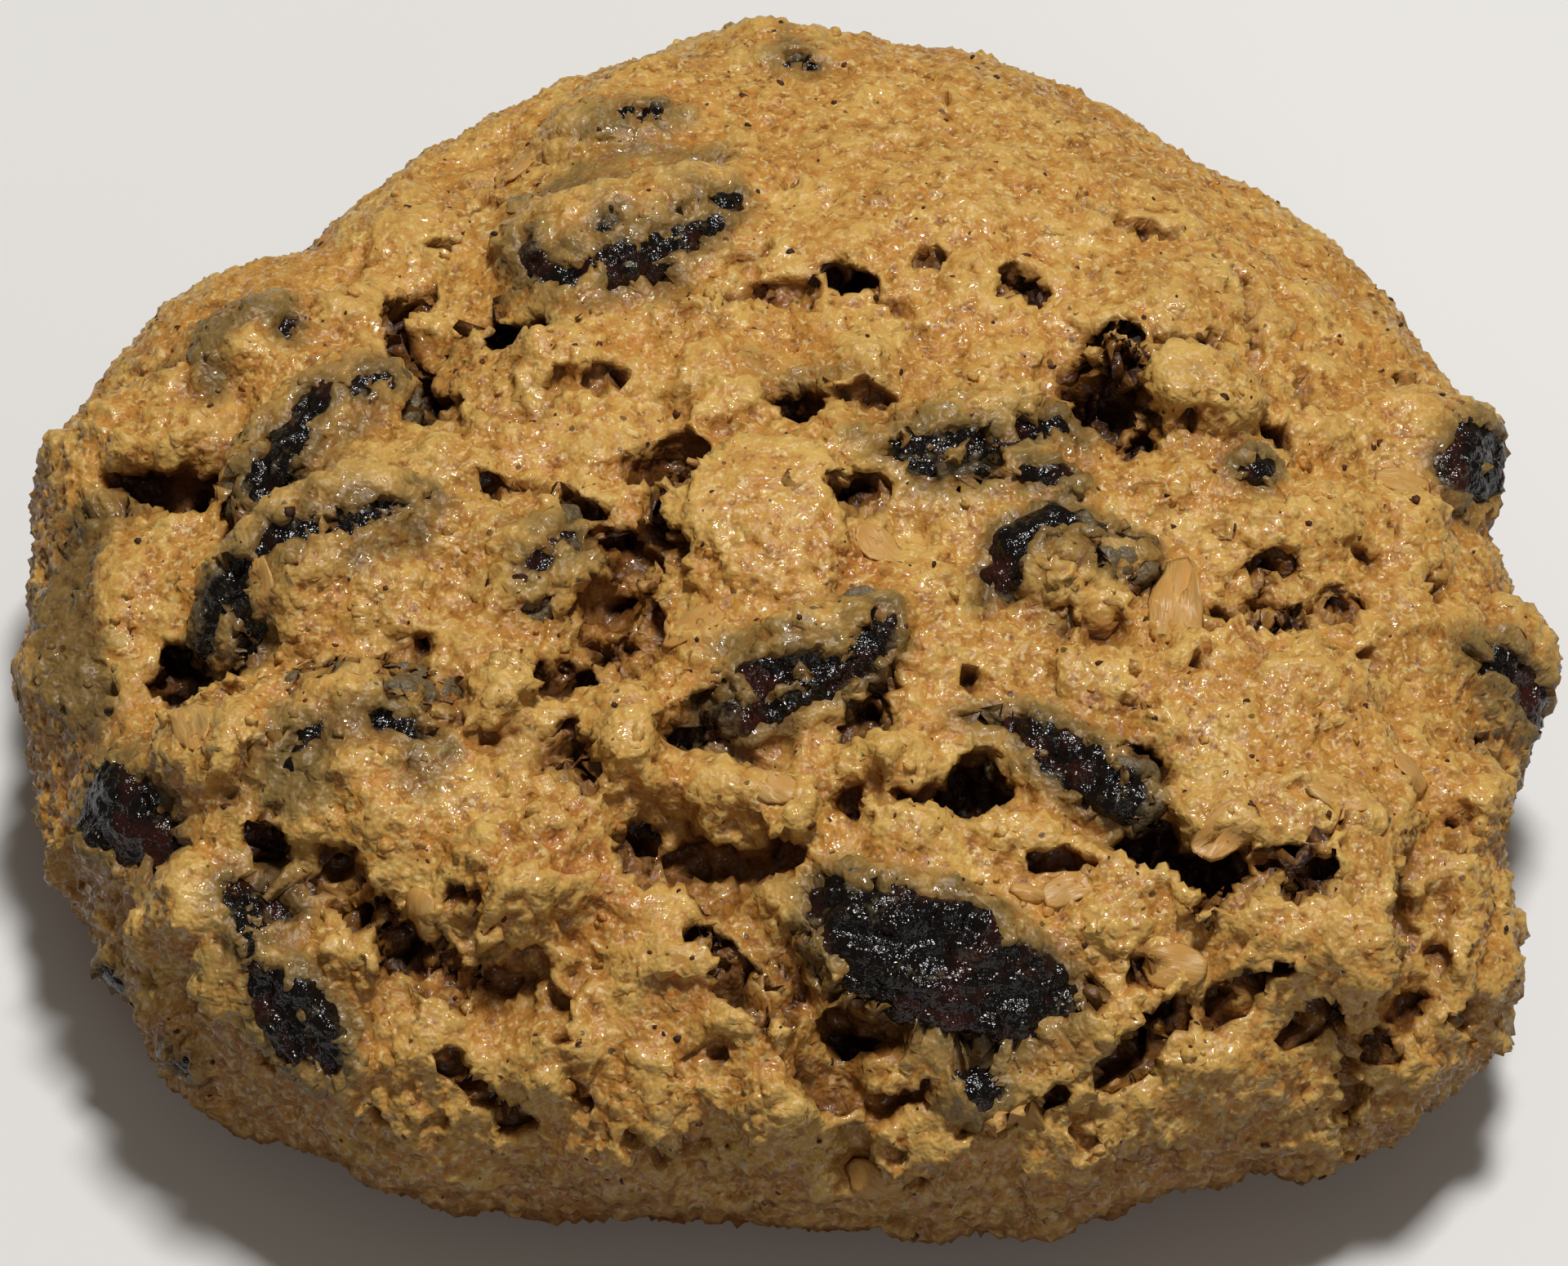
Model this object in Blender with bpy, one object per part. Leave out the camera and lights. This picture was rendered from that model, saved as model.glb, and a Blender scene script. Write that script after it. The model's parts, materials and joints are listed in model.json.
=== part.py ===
"""Oatmeal raisin cookie: a thick, rough round of baked dough with raisins set into its crust.

The dough is one closed solid with a flat base. Its crust is a flattened dome with outline
lobes and lumps, cut by cracks, hollows and one socket for each raisin. Each raisin is its own
solid, folded lengthwise, and lies in its socket with a small gap all round.

Metres, +Z up. The origin is the middle of the base, +X runs along the widest way across.
"""

import math
from collections import namedtuple

import bmesh
import bpy
from mathutils import Matrix, Vector, noise
from mathutils.bvhtree import BVHTree

MM = 0.001

# Outline of the round, seen from above: an ellipse with lobes added to its radius.
HALF_WIDTH = 38.6
HALF_DEPTH = 38.0
Lobe = namedtuple("Lobe", "angle spread height")  # degrees, degrees, mm
LOBES = (
    Lobe(34, 16, 1.2),
    Lobe(84, 24, 3.4),  # back bulge
    Lobe(122, 9, -1.5),
    Lobe(139, 7, -3.0),  # dent behind the left shoulder
    Lobe(158, 16, 1.0),
    Lobe(214, 12, 0.6),
    Lobe(242, 7, 1.2),
    Lobe(266, 25, -3.7),  # flatter front
    Lobe(321, 15, 4.4),  # front right shoulder
    Lobe(340, 8, -1.9),
    Lobe(350, 5, 0.7),
    Lobe(6, 5, -1.8),  # dent below the right rim raisin
)

# Profile from the top centre to the edge of the base.
TOP = 22.0  # height of the crust before its lumps
WAIST = 8.0  # height at which the round is widest
BASE_SHARE = 0.74  # radius of the flat base, as a share of the outline's
DOME_POWER = 2.6
SKIRT_POWER = 2.0
RINGS = 17  # rings of faces from the top centre to the base
PROFILE_STEPS = 200

# Clods with creases between them, and the smaller unevenness of the crust.
CLOD_SIZE = 10.0
CLOD_HEIGHT = 2.4
CLOD_MIDDLE = 0.45  # distance from a clod's centre at which the crust keeps its plain height
GRAIN_SIZE = 4.5
GRAIN_HEIGHT = 0.7
SMOOTH_DOME = (8, 20, 21)  # the middle of the smoother back of the round
SMOOTH_RADIUS = 16.0
WALL_HEIGHTS = (10, 17)  # between these heights the wall's lesser unevenness grows into the crust's
WALL_SHARE = 0.35
CRUST_FLOOR = 1.5  # below this height the unevenness fades out into the flat base

Lump = namedtuple("Lump", "x y z radius height")  # a clod of dough, or a dip where negative
LUMPS = (
    Lump(-1, -3, 22, 7.5, 1.7),  # middle block
    Lump(-11, -21.5, 20, 7.5, 1.9),  # front left clod
    Lump(-1, -30, 17, 6.0, 1.7),  # front ridge beside the deep cavity
    Lump(6.5, -21, 20, 4.5, 1.5),  # knob in front of the long fissure
    Lump(24, -13, 20, 10.0, 1.4),  # right plate
    Lump(6, 17, 21.5, 13.0, 1.1),  # back dome
    Lump(-8, 18, 21, 7.0, 0.9),  # swell round the large back raisin
    Lump(-24, 9, 20, 5.5, 1.4),
    Lump(-33, 7, 17, 5.5, 1.0),
    Lump(-20, -5, 20.5, 6.5, 1.5),  # dough lying over the arc raisin
    Lump(-29, -14, 18, 4.5, 1.2),
    Lump(-28, -22, 15.5, 5.0, 1.3),
    Lump(-20, -17.5, 20, 5.0, 1.2),
    Lump(20.5, 6, 20.5, 5.0, 1.3),
    Lump(14, 13, 21.3, 6.0, 0.5),
    Lump(20, -25.5, 18, 6.0, 0.9),
    Lump(27, -24, 16, 5.5, 0.9),
    Lump(-15, -13.5, 21, 3.0, 1.0),
    Lump(-7.5, -16.5, 21, 2.6, 1.3),  # small clod at the head of the fissure
    Lump(-13, 3, 21.5, 5.0, 0.6),
    Lump(30, 3, 18, 6.0, 0.6),
    Lump(-26.5, -29, 8, 6.0, 0.8),
    Lump(33, -19, 12, 6.0, 0.7),
    Lump(4, -34, 2.5, 8.0, 0.5),  # foot at the front
    Lump(-28.5, -25.5, 3, 2.6, 1.0),  # thin tab at the front left of the base
    Lump(-8, -10, 21.5, 3.5, -1.3),
    Lump(-28.5, 1, 19, 3.5, -1.3),
    Lump(-13, -29, 16, 4.0, -0.6),
    Lump(14, 7, 21.5, 4.0, -0.8),
    Lump(24, -6, 20.2, 3.5, -0.9),
    Lump(-18, 12, 20.5, 3.5, -1.0),
)

# Cracks: points that their paths pass through on the crust, and their greatest width and depth.
Crack = namedtuple("Crack", "name path width depth")
CRACKS = (
    Crack(
        "fissure",
        (
            (-9, -16.5, 21), (-4, -16, 21), (1, -18, 21), (4, -19, 21), (9, -18.5, 20.5),
            (15, -20, 20), (19.5, -22.5, 19), (24, -21.5, 19),
        ),
        3.4, 6.0,
    ),
    Crack("fissure_branch", ((4, -15.5, 21.5), (3.5, -17.5, 21), (3.5, -19.5, 21)), 2.0, 3.5),
    Crack("back_left_crack", ((-19, 14.5, 20), (-18.5, 9, 21), (-17, 4.5, 21)), 1.2, 2.5),
    Crack("middle_crack", ((-9, -4.5, 22), (-6.5, -5, 22), (-8, -8.5, 21.5), (-9, -11, 21.5)), 1.8, 3.0),
    Crack("back_raisin_crack", ((-16, 10.5, 21), (-13, 9.5, 21.5), (-10, 9.5, 21.5)), 1.2, 2.2),
    Crack("slit", ((-11.5, -1, 22), (-9.5, -1.7, 22), (-7.5, -2.3, 22)), 0.9, 1.6),
    Crack("left_crack", ((-34.5, 5, 16), (-31.5, 2.8, 18), (-27, -1, 19.5)), 1.6, 2.4),
    Crack(
        "low_left_crack",
        ((-23, -12, 20), (-20, -10, 20.5), (-16.5, -11, 21), (-14.5, -13.5, 21)),
        1.2, 2.2,
    ),
    Crack("pit_crack", ((-31, -19, 15), (-27, -20.8, 17), (-22.5, -22, 18)), 1.4, 2.6),
    Crack("right_shelf", ((19.5, -6, 21), (21, -8, 20.5), (27.5, -5.5, 19)), 1.3, 2.2),
    Crack("right_crease", ((32, -18, 16), (31, -21.5, 16), (30.5, -27, 14), (26, -30, 12)), 1.2, 1.6),
    Crack("front_slash", ((17.5, -29.5, 16), (16, -31, 15), (14.8, -32.3, 14.5)), 1.5, 2.2),
    Crack("front_furrow", ((-3.5, -26, 19), (-1.5, -28.5, 18), (0, -30, 17)), 1.2, 1.8),
    Crack("left_furrow", ((-15.5, -23, 19), (-14.5, -26, 18), (-11, -30, 16)), 1.1, 1.6),
    Crack("foot_crease", ((-5, -35, 6), (2, -35.5, 5.5), (10, -35, 6)), 1.2, 1.6),
)
CRACK_STEP = 3.0  # distance between a crack's cross-sections
CRACK_WANDER = 0.45  # how far a crack strays sideways from its path
CRACK_RISE = 2.5  # how far a crack's cutter stands above the crust
CRACK_END = 0.3  # width and depth left at a crack's ends, as a share

Hollow = namedtuple("Hollow", "name at size heading sink")  # ellipsoid bite out of the crust
HOLLOWS = (
    Hollow("brown_hollow", (-3.5, -21.3, 20), (10.5, 4.5, 5.0), -18, 0.2),
    Hollow("deep_cavity", (4, -32, 16), (5.5, 5.0, 8.0), -60, 1.0),
    Hollow("left_cavity", (-28, -9.8, 18.7), (6.5, 3.4, 6.0), 0, 0.8),
    Hollow("pit", (-31.2, -16.6, 16), (5.5, 4.5, 4.0), -40, 0.0),
    Hollow("pocket", (-10.5, -12.3, 21.4), (2.6, 2.4, 5.0), 0, 0.6),
    Hollow("slit_hole", (-13.5, 10, 21), (3.4, 1.8, 4.4), 0, 0.6),
    Hollow("top_hole", (-5.4, 0, 22), (2.4, 1.7, 4.4), 0, 0.7),
    Hollow("block_hole", (1, 3.4, 22), (3.0, 1.4, 4.4), -15, 0.7),
    Hollow("back_hole", (3.5, 12.6, 21.7), (2.0, 1.4, 3.4), 0, 0.5),
    Hollow("star_hole", (12, 12.9, 21.3), (1.8, 2.0, 4.0), 0, 0.5),
    Hollow("right_back_hole", (17, 8.8, 21), (3.0, 1.6, 4.4), 0, 0.6),
    Hollow("right_hole", (16, 4.2, 21.4), (2.8, 2.0, 4.0), 0, 0.6),
    Hollow("front_left_hole", (-17.8, -25.7, 17.5), (2.6, 1.6, 3.4), 20, 0.5),
    Hollow("fissure_pocket", (3, -18, 21), (5.0, 3.6, 9.0), -10, 2.0),
)

# Raisins: the point of the crust above each, how deep its middle lies under the crust, the way
# its long axis points seen from above, its roll about that axis, and its length, width, thickness.
Raisin = namedtuple("Raisin", "name at sink heading roll size")
RAISINS = (
    Raisin("raisin_back_rim", (0.5, 34.5, 17), 2.0, 0, 0, (11, 7, 5)),
    Raisin("raisin_back_small", (-7.5, 26, 19.5), 1.9, 8, 24, (10, 6.5, 4.6)),
    Raisin("raisin_back_large", (-8, 16.6, 21), 2.0, 20, 0, (13, 9.5, 6)),
    Raisin("raisin_left_back", (-27.5, 10.6, 18.8), 1.9, 35, 20, (8.5, 6, 4.6)),
    Raisin("raisin_left_upper", (-22.8, 3.4, 20.2), 2.2, 44, 38, (12, 7, 5)),
    Raisin("raisin_left_arc", (-22.6, -6, 20), 2.6, 40, 40, (14, 8.5, 5)),
    Raisin("raisin_left_edge", (-35.2, -4, 15.6), 1.9, 80, 0, (12, 7.5, 4.8)),
    Raisin("raisin_left_low", (-20.8, -15.8, 20), 1.9, 20, 10, (12, 7.5, 5)),
    Raisin("raisin_left_pit", (-31.5, -17, 15.6), 2.1, -40, 0, (8, 6, 5)),
    Raisin("raisin_front_left", (-23.6, -26, 15), 1.5, -62, 0, (13.5, 5.6, 5)),
    Raisin("raisin_middle", (1.2, -12.7, 21.6), 1.6, 30, -8, (11.5, 5.6, 5)),
    Raisin("raisin_centre_bar", (9.3, 1.8, 21.9), 1.9, 15, 0, (11.5, 4.8, 5)),
    Raisin("raisin_centre_chip", (13.4, -1.2, 21.6), 0.7, -15, 0, (4.2, 1.9, 2.4)),
    Raisin("raisin_centre_arch", (13.7, -6.4, 21.5), 1.8, 8, 24, (9.5, 6.2, 4.8)),
    Raisin("raisin_centre_left", (-12, -5.9, 21.7), 1.7, 62, 10, (7.5, 5, 4.4)),
    Raisin("raisin_fissure", (13.2, -17, 20.8), 1.7, -38, 0, (11, 5.0, 4.6)),
    Raisin("raisin_front_large", (7.4, -27, 18.7), 2.2, -24, -6, (14, 8.8, 7)),
    Raisin("raisin_front_chip", (9.3, -33, 14.8), 0.8, -25, 0, (4, 2.6, 2.6)),
    Raisin("raisin_right_rim", (34.9, 6, 15), 1.0, 62, 0, (8.5, 5.4, 4.6)),
    Raisin("raisin_right_edge", (36.5, -7.6, 12.5), 2.2, -75, 0, (10.5, 5.8, 4.6)),
    Raisin("raisin_right_speck", (23.5, 0.8, 20.4), 0.5, 15, 0, (2.8, 2, 2)),
    Raisin("raisin_low_left_chip", (-32.4, -22, 9.2), 0.6, -60, 0, (3.4, 2.2, 2.2)),
    Raisin("raisin_foot_chip", (-29, -26.5, 8.4), 0.6, -30, 0, (3.4, 2.2, 2.2)),
)
SOCKET_GAP = 0.42  # grown outwards from each raisin's points, which leaves 0.3 between the faces
CHIP_LENGTH = 5.0  # raisins shorter than this have fewer faces
FOLDS = 5  # ridges that run along a raisin
FOLD_DEPTH = 0.13  # depth of the folds, as a share of the raisin's half thickness
RAISIN_TAPER = 0.16  # how much narrower one end is than the other

DOUGH_COLOUR = (0.45, 0.26, 0.09, 1.0)
RAISIN_COLOUR = (0.022, 0.012, 0.010, 1.0)


def clear_scene():
    for obj in list(bpy.data.objects):
        bpy.data.objects.remove(obj, do_unlink=True)


def material(name, colour, roughness):
    made = bpy.data.materials.new(name)
    made.use_nodes = True
    shader = made.node_tree.nodes["Principled BSDF"]
    shader.inputs["Base Color"].default_value = colour
    shader.inputs["Roughness"].default_value = roughness
    shader.inputs["Metallic"].default_value = 0.0
    return made


def add_empty(name, bm):
    """An empty that brings the middle of a body's box, seen from above, to the origin."""
    empty = bpy.data.objects.new(name, None)
    for axis in range(2):
        sides = [vert.co[axis] for vert in bm.verts]
        empty.location[axis] = -(min(sides) + max(sides)) / 2 * MM
    bpy.context.scene.collection.objects.link(empty)
    return empty


def add_object(name, bm, parent, place=Matrix(), surface=None):
    """A new object from a bmesh drawn in millimetres, moved by a place given in millimetres too."""
    bmesh.ops.scale(bm, vec=(MM, MM, MM), verts=bm.verts)
    bmesh.ops.recalc_face_normals(bm, faces=bm.faces)
    mesh = bpy.data.meshes.new(name)
    bm.to_mesh(mesh)
    bm.free()
    mesh.shade_smooth()
    obj = bpy.data.objects.new(name, mesh)
    bpy.context.scene.collection.objects.link(obj)
    obj.parent = parent
    obj.location = place.to_translation() * MM
    obj.rotation_euler = place.to_euler()
    if surface:
        mesh.materials.append(surface)
    return obj


def bell(distance, spread):
    return math.exp(-((distance / spread) ** 2))


def rise_share(height, low, high):
    """0 below the lower height, 1 above the higher one, and even between them."""
    return min(1.0, max(0.0, (height - low) / (high - low)))


def outline_radius(angle):
    """Distance from the axis to the outline, at an angle in radians."""
    radius = HALF_WIDTH * HALF_DEPTH / math.hypot(HALF_DEPTH * math.cos(angle), HALF_WIDTH * math.sin(angle))
    for lobe in LOBES:
        turn = (math.degrees(angle) - lobe.angle + 180) % 360 - 180
        radius += lobe.height * bell(turn, lobe.spread)
    return radius


def profile_point(turn):
    """(share of the outline's radius, height) for a turn from 1 at the top centre to -1 at the base."""
    quarter = abs(turn) * math.pi / 2
    across = max(0.0, math.cos(quarter))
    along = math.sin(quarter)
    if turn >= 0:
        return across ** (2 / DOME_POWER), WAIST + (TOP - WAIST) * along ** (2 / DOME_POWER)
    share = BASE_SHARE + (1 - BASE_SHARE) * across ** (2 / SKIRT_POWER)
    return share, WAIST * (1 - along ** (2 / SKIRT_POWER))


def even_profile(count):
    """The profile's points at equal distances along it, from the top centre to the base."""
    fine = [profile_point(1 - 2 * step / PROFILE_STEPS) for step in range(PROFILE_STEPS + 1)]
    lengths = [0.0]
    for (r0, z0), (r1, z1) in zip(fine, fine[1:]):
        lengths.append(lengths[-1] + math.hypot((r1 - r0) * HALF_WIDTH, z1 - z0))
    points = []
    step = 0
    for ring in range(count + 1):
        wanted = lengths[-1] * ring / count
        while step < PROFILE_STEPS - 1 and lengths[step + 1] < wanted:
            step += 1
        share = (wanted - lengths[step]) / (lengths[step + 1] - lengths[step])
        (r0, z0), (r1, z1) = fine[step], fine[step + 1]
        points.append((r0 + (r1 - r0) * share, z0 + (z1 - z0) * share))
    return points


def ring_angle(u, v):
    """Turns a place on a square's rim into an angle, so that the square's rings become round."""
    if abs(u) >= abs(v):
        return math.pi / 4 * v / u + (0 if u > 0 else math.pi)
    return math.pi / 2 - math.pi / 4 * u / v + (0 if v > 0 else math.pi)


def unevenness(point):
    """How far the crust at a point stands out from its plain form."""
    height = sum(lump.height * bell((point - Vector(lump[:3])).length, lump.radius) for lump in LUMPS)
    nearest = noise.voronoi(point / CLOD_SIZE)[0][0]
    rough = CLOD_HEIGHT * (CLOD_MIDDLE - nearest) + GRAIN_HEIGHT * noise.noise(point / GRAIN_SIZE)
    rough *= 1 - 0.6 * bell((point - Vector(SMOOTH_DOME)).length, SMOOTH_RADIUS)
    rough *= WALL_SHARE + (1 - WALL_SHARE) * rise_share(point.z, *WALL_HEIGHTS)
    return (height + rough) * rise_share(point.z, CRUST_FLOOR, 2 * CRUST_FLOOR)


def dough_body():
    """The dough before it is cut: a square grid bent over the form, closed by a flat base."""
    bm = bmesh.new()
    bmesh.ops.create_grid(bm, x_segments=2 * RINGS, y_segments=2 * RINGS, size=1)
    profile = even_profile(RINGS)
    for vert in bm.verts:
        u, v = vert.co.x, vert.co.y
        ring = round(max(abs(u), abs(v)) * RINGS)
        share, height = profile[ring]
        angle = ring_angle(u, v) if ring else 0.0
        radius = share * outline_radius(angle)
        vert.co = (radius * math.cos(angle), radius * math.sin(angle), height)
    bm.normal_update()
    moves = [vert.normal * unevenness(vert.co) for vert in bm.verts]
    for vert, move in zip(bm.verts, moves):
        vert.co += move
    rim = [edge for edge in bm.edges if edge.is_boundary]
    bmesh.ops.contextual_create(bm, geom=rim)
    bmesh.ops.triangulate(bm, faces=bm.faces)
    bmesh.ops.recalc_face_normals(bm, faces=bm.faces)
    return bm


def crust_frame(crust, at, heading):
    """(point of the crust nearest to a place, a turn with z along its normal and x along the heading)."""
    point, normal, _, _ = crust.find_nearest(Vector(at))
    along = Vector((math.cos(math.radians(heading)), math.sin(math.radians(heading)), 0))
    along = (along - normal * along.dot(normal)).normalized()
    turn = Matrix((along, normal.cross(along), normal)).transposed()
    return point, turn.to_4x4()


def raisin_body(raisin, turn_of, grown=0.0):
    """A raisin's folded body in its own frame, or its socket where it is grown."""
    length, width, thickness = raisin.size
    small = length < CHIP_LENGTH
    bm = bmesh.new()
    bmesh.ops.create_uvsphere(bm, u_segments=7 if small else 10, v_segments=4 if small else 6, radius=1)
    bmesh.ops.rotate(bm, verts=bm.verts, matrix=Matrix.Rotation(math.pi / 2, 3, "Y"))
    for vert in bm.verts:
        around = math.atan2(vert.co.z, vert.co.y)
        girth = math.hypot(vert.co.y, vert.co.z)
        fold = math.cos(FOLDS * around) + 0.8 * math.cos(2 * around + turn_of + 2 * vert.co.x)
        swell = 1 + FOLD_DEPTH * fold * girth - RAISIN_TAPER * vert.co.x
        vert.co = (
            vert.co.x * length / 2,
            vert.co.y * swell * width / 2,
            vert.co.z * swell * thickness / 2 + 0.04 * length * math.cos(2 * vert.co.x + turn_of),
        )
    if grown:
        bm.normal_update()
        for vert in bm.verts:
            vert.co += vert.normal * grown
    return bm


def crack_stations(crust, crack):
    """Points of the crust along a crack, with the normal at each."""
    path = [Vector(p) for p in crack.path]
    stations = []
    for start, end in zip(path, path[1:]):
        count = max(1, round((end - start).length / CRACK_STEP))
        stations += [start.lerp(end, step / count) for step in range(count)]
    stations.append(path[-1])
    return [crust.find_nearest(p)[:2] for p in stations]


def crack_body(crust, crack):
    """A wedge along a crack's path, narrow and shallow at its ends and wandering a little."""
    stations = crack_stations(crust, crack)
    last = len(stations) - 1
    bm = bmesh.new()
    sections = []
    for index, (point, normal) in enumerate(stations):
        ahead = stations[min(index + 1, last)][0] - stations[max(index - 1, 0)][0]
        side = normal.cross(ahead).normalized()
        share = CRACK_END + (1 - CRACK_END) * math.sin(math.pi * index / last)
        share *= 1 + 0.3 * noise.noise(point / 2)
        wander = CRACK_WANDER * noise.noise(point / 3 + Vector((3, 1, 2)))
        middle = point + side * wander
        half = side * crack.width / 2 * share
        rise = normal * CRACK_RISE
        foot = middle - normal * crack.depth * share
        spread = 1 + CRACK_RISE / crack.depth
        corners = (middle + rise - half * spread, middle + rise + half * spread, foot)
        sections.append([bm.verts.new(corner) for corner in corners])
    for near, far in zip(sections, sections[1:]):
        for k in range(3):
            bm.faces.new((near[k], near[(k + 1) % 3], far[(k + 1) % 3], far[k]))
    bm.faces.new(sections[0])
    bm.faces.new(reversed(sections[-1]))
    bmesh.ops.triangulate(bm, faces=bm.faces)
    return bm


def sunk_place(crust, feature):
    """Where a feature's middle lies: under its point of the crust, turned to its heading."""
    point, turn = crust_frame(crust, feature.at, feature.heading)
    return Matrix.Translation(point) @ turn @ Matrix.Translation((0, 0, -feature.sink))


def hollow_body(hollow):
    bm = bmesh.new()
    bmesh.ops.create_uvsphere(bm, u_segments=7, v_segments=5, radius=0.5)
    bmesh.ops.scale(bm, vec=hollow.size, verts=bm.verts)
    for vert in bm.verts:
        vert.co *= 1 + 0.22 * noise.noise(vert.co / 2 + Vector(hollow.at))
    return bm


def cut(target, name, bm, place=Matrix()):
    """Takes a hidden cutter out of the target with a Boolean."""
    cutter = add_object(name, bm, target.parent, place)
    cutter.hide_render = True
    cutter.display_type = "WIRE"
    boolean = target.modifiers.new(name, "BOOLEAN")
    boolean.operation = "DIFFERENCE"
    boolean.solver = "EXACT"
    boolean.object = cutter


def main():
    clear_scene()
    dough_look = material("baked_dough", DOUGH_COLOUR, 0.8)
    raisin_look = material("raisin_skin", RAISIN_COLOUR, 0.35)

    body = dough_body()
    crust = BVHTree.FromBMesh(body)
    middle = add_empty("middle", body)
    dough = add_object("dough", body, middle, surface=dough_look)

    for crack in CRACKS:
        cut(dough, "cut_" + crack.name, crack_body(crust, crack))
    for hollow in HOLLOWS:
        cut(dough, "cut_" + hollow.name, hollow_body(hollow), sunk_place(crust, hollow))
    for index, raisin in enumerate(RAISINS):
        place = sunk_place(crust, raisin) @ Matrix.Rotation(math.radians(raisin.roll), 4, "X")
        add_object(raisin.name, raisin_body(raisin, index), middle, place, raisin_look)
        cut(dough, "socket_" + raisin.name, raisin_body(raisin, index, SOCKET_GAP), place)


main()
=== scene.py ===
"""Oatmeal raisin cookie: the crumbly baked crust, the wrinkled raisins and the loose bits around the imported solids."""

import json
import math

import bmesh
import bpy
import numpy as np
from bpy.props import FloatProperty, FloatVectorProperty, IntProperty, PointerProperty
from mathutils import Matrix, Vector, noise
from mathutils.bvhtree import BVHTree

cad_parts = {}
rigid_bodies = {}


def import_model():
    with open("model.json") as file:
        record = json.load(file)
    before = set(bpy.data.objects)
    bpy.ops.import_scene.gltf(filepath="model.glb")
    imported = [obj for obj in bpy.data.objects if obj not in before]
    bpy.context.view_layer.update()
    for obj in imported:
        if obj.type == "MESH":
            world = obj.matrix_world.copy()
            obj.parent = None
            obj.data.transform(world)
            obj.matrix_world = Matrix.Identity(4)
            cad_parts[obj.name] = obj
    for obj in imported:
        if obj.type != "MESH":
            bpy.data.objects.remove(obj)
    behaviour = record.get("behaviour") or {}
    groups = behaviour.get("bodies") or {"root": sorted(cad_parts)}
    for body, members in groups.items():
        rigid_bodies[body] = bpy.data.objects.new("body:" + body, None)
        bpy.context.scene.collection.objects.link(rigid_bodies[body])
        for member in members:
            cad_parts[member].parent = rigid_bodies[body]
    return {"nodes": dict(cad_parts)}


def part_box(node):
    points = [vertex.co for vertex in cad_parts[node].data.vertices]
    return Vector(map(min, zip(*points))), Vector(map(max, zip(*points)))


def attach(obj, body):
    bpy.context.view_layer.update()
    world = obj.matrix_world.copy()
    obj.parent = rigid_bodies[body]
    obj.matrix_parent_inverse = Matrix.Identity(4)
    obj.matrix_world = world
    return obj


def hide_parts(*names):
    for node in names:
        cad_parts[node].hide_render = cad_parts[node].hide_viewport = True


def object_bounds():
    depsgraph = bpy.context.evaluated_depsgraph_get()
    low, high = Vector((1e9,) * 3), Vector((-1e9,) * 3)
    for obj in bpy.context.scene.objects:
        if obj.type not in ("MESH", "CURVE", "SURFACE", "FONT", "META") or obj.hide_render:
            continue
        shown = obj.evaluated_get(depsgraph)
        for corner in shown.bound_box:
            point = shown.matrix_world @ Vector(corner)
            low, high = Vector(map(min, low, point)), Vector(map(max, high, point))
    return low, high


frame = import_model()
noise.seed_set(7)  # vector noise would otherwise differ from run to run

bl_info = {
    "name": "Oatmeal Raisin Cookie",
    "version": (1, 0, 0),
    "blender": (4, 5, 0),
    "location": "View3D > Sidebar > Cookie",
    "description": "Bakes the crumb, raisins and loose bits of an oatmeal raisin cookie",
    "category": "Object",
}

MM = 0.001
DOUGH = "dough"
RAISINS = sorted(name for name in frame["nodes"] if name.startswith("raisin"))
LOW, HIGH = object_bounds()

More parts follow.
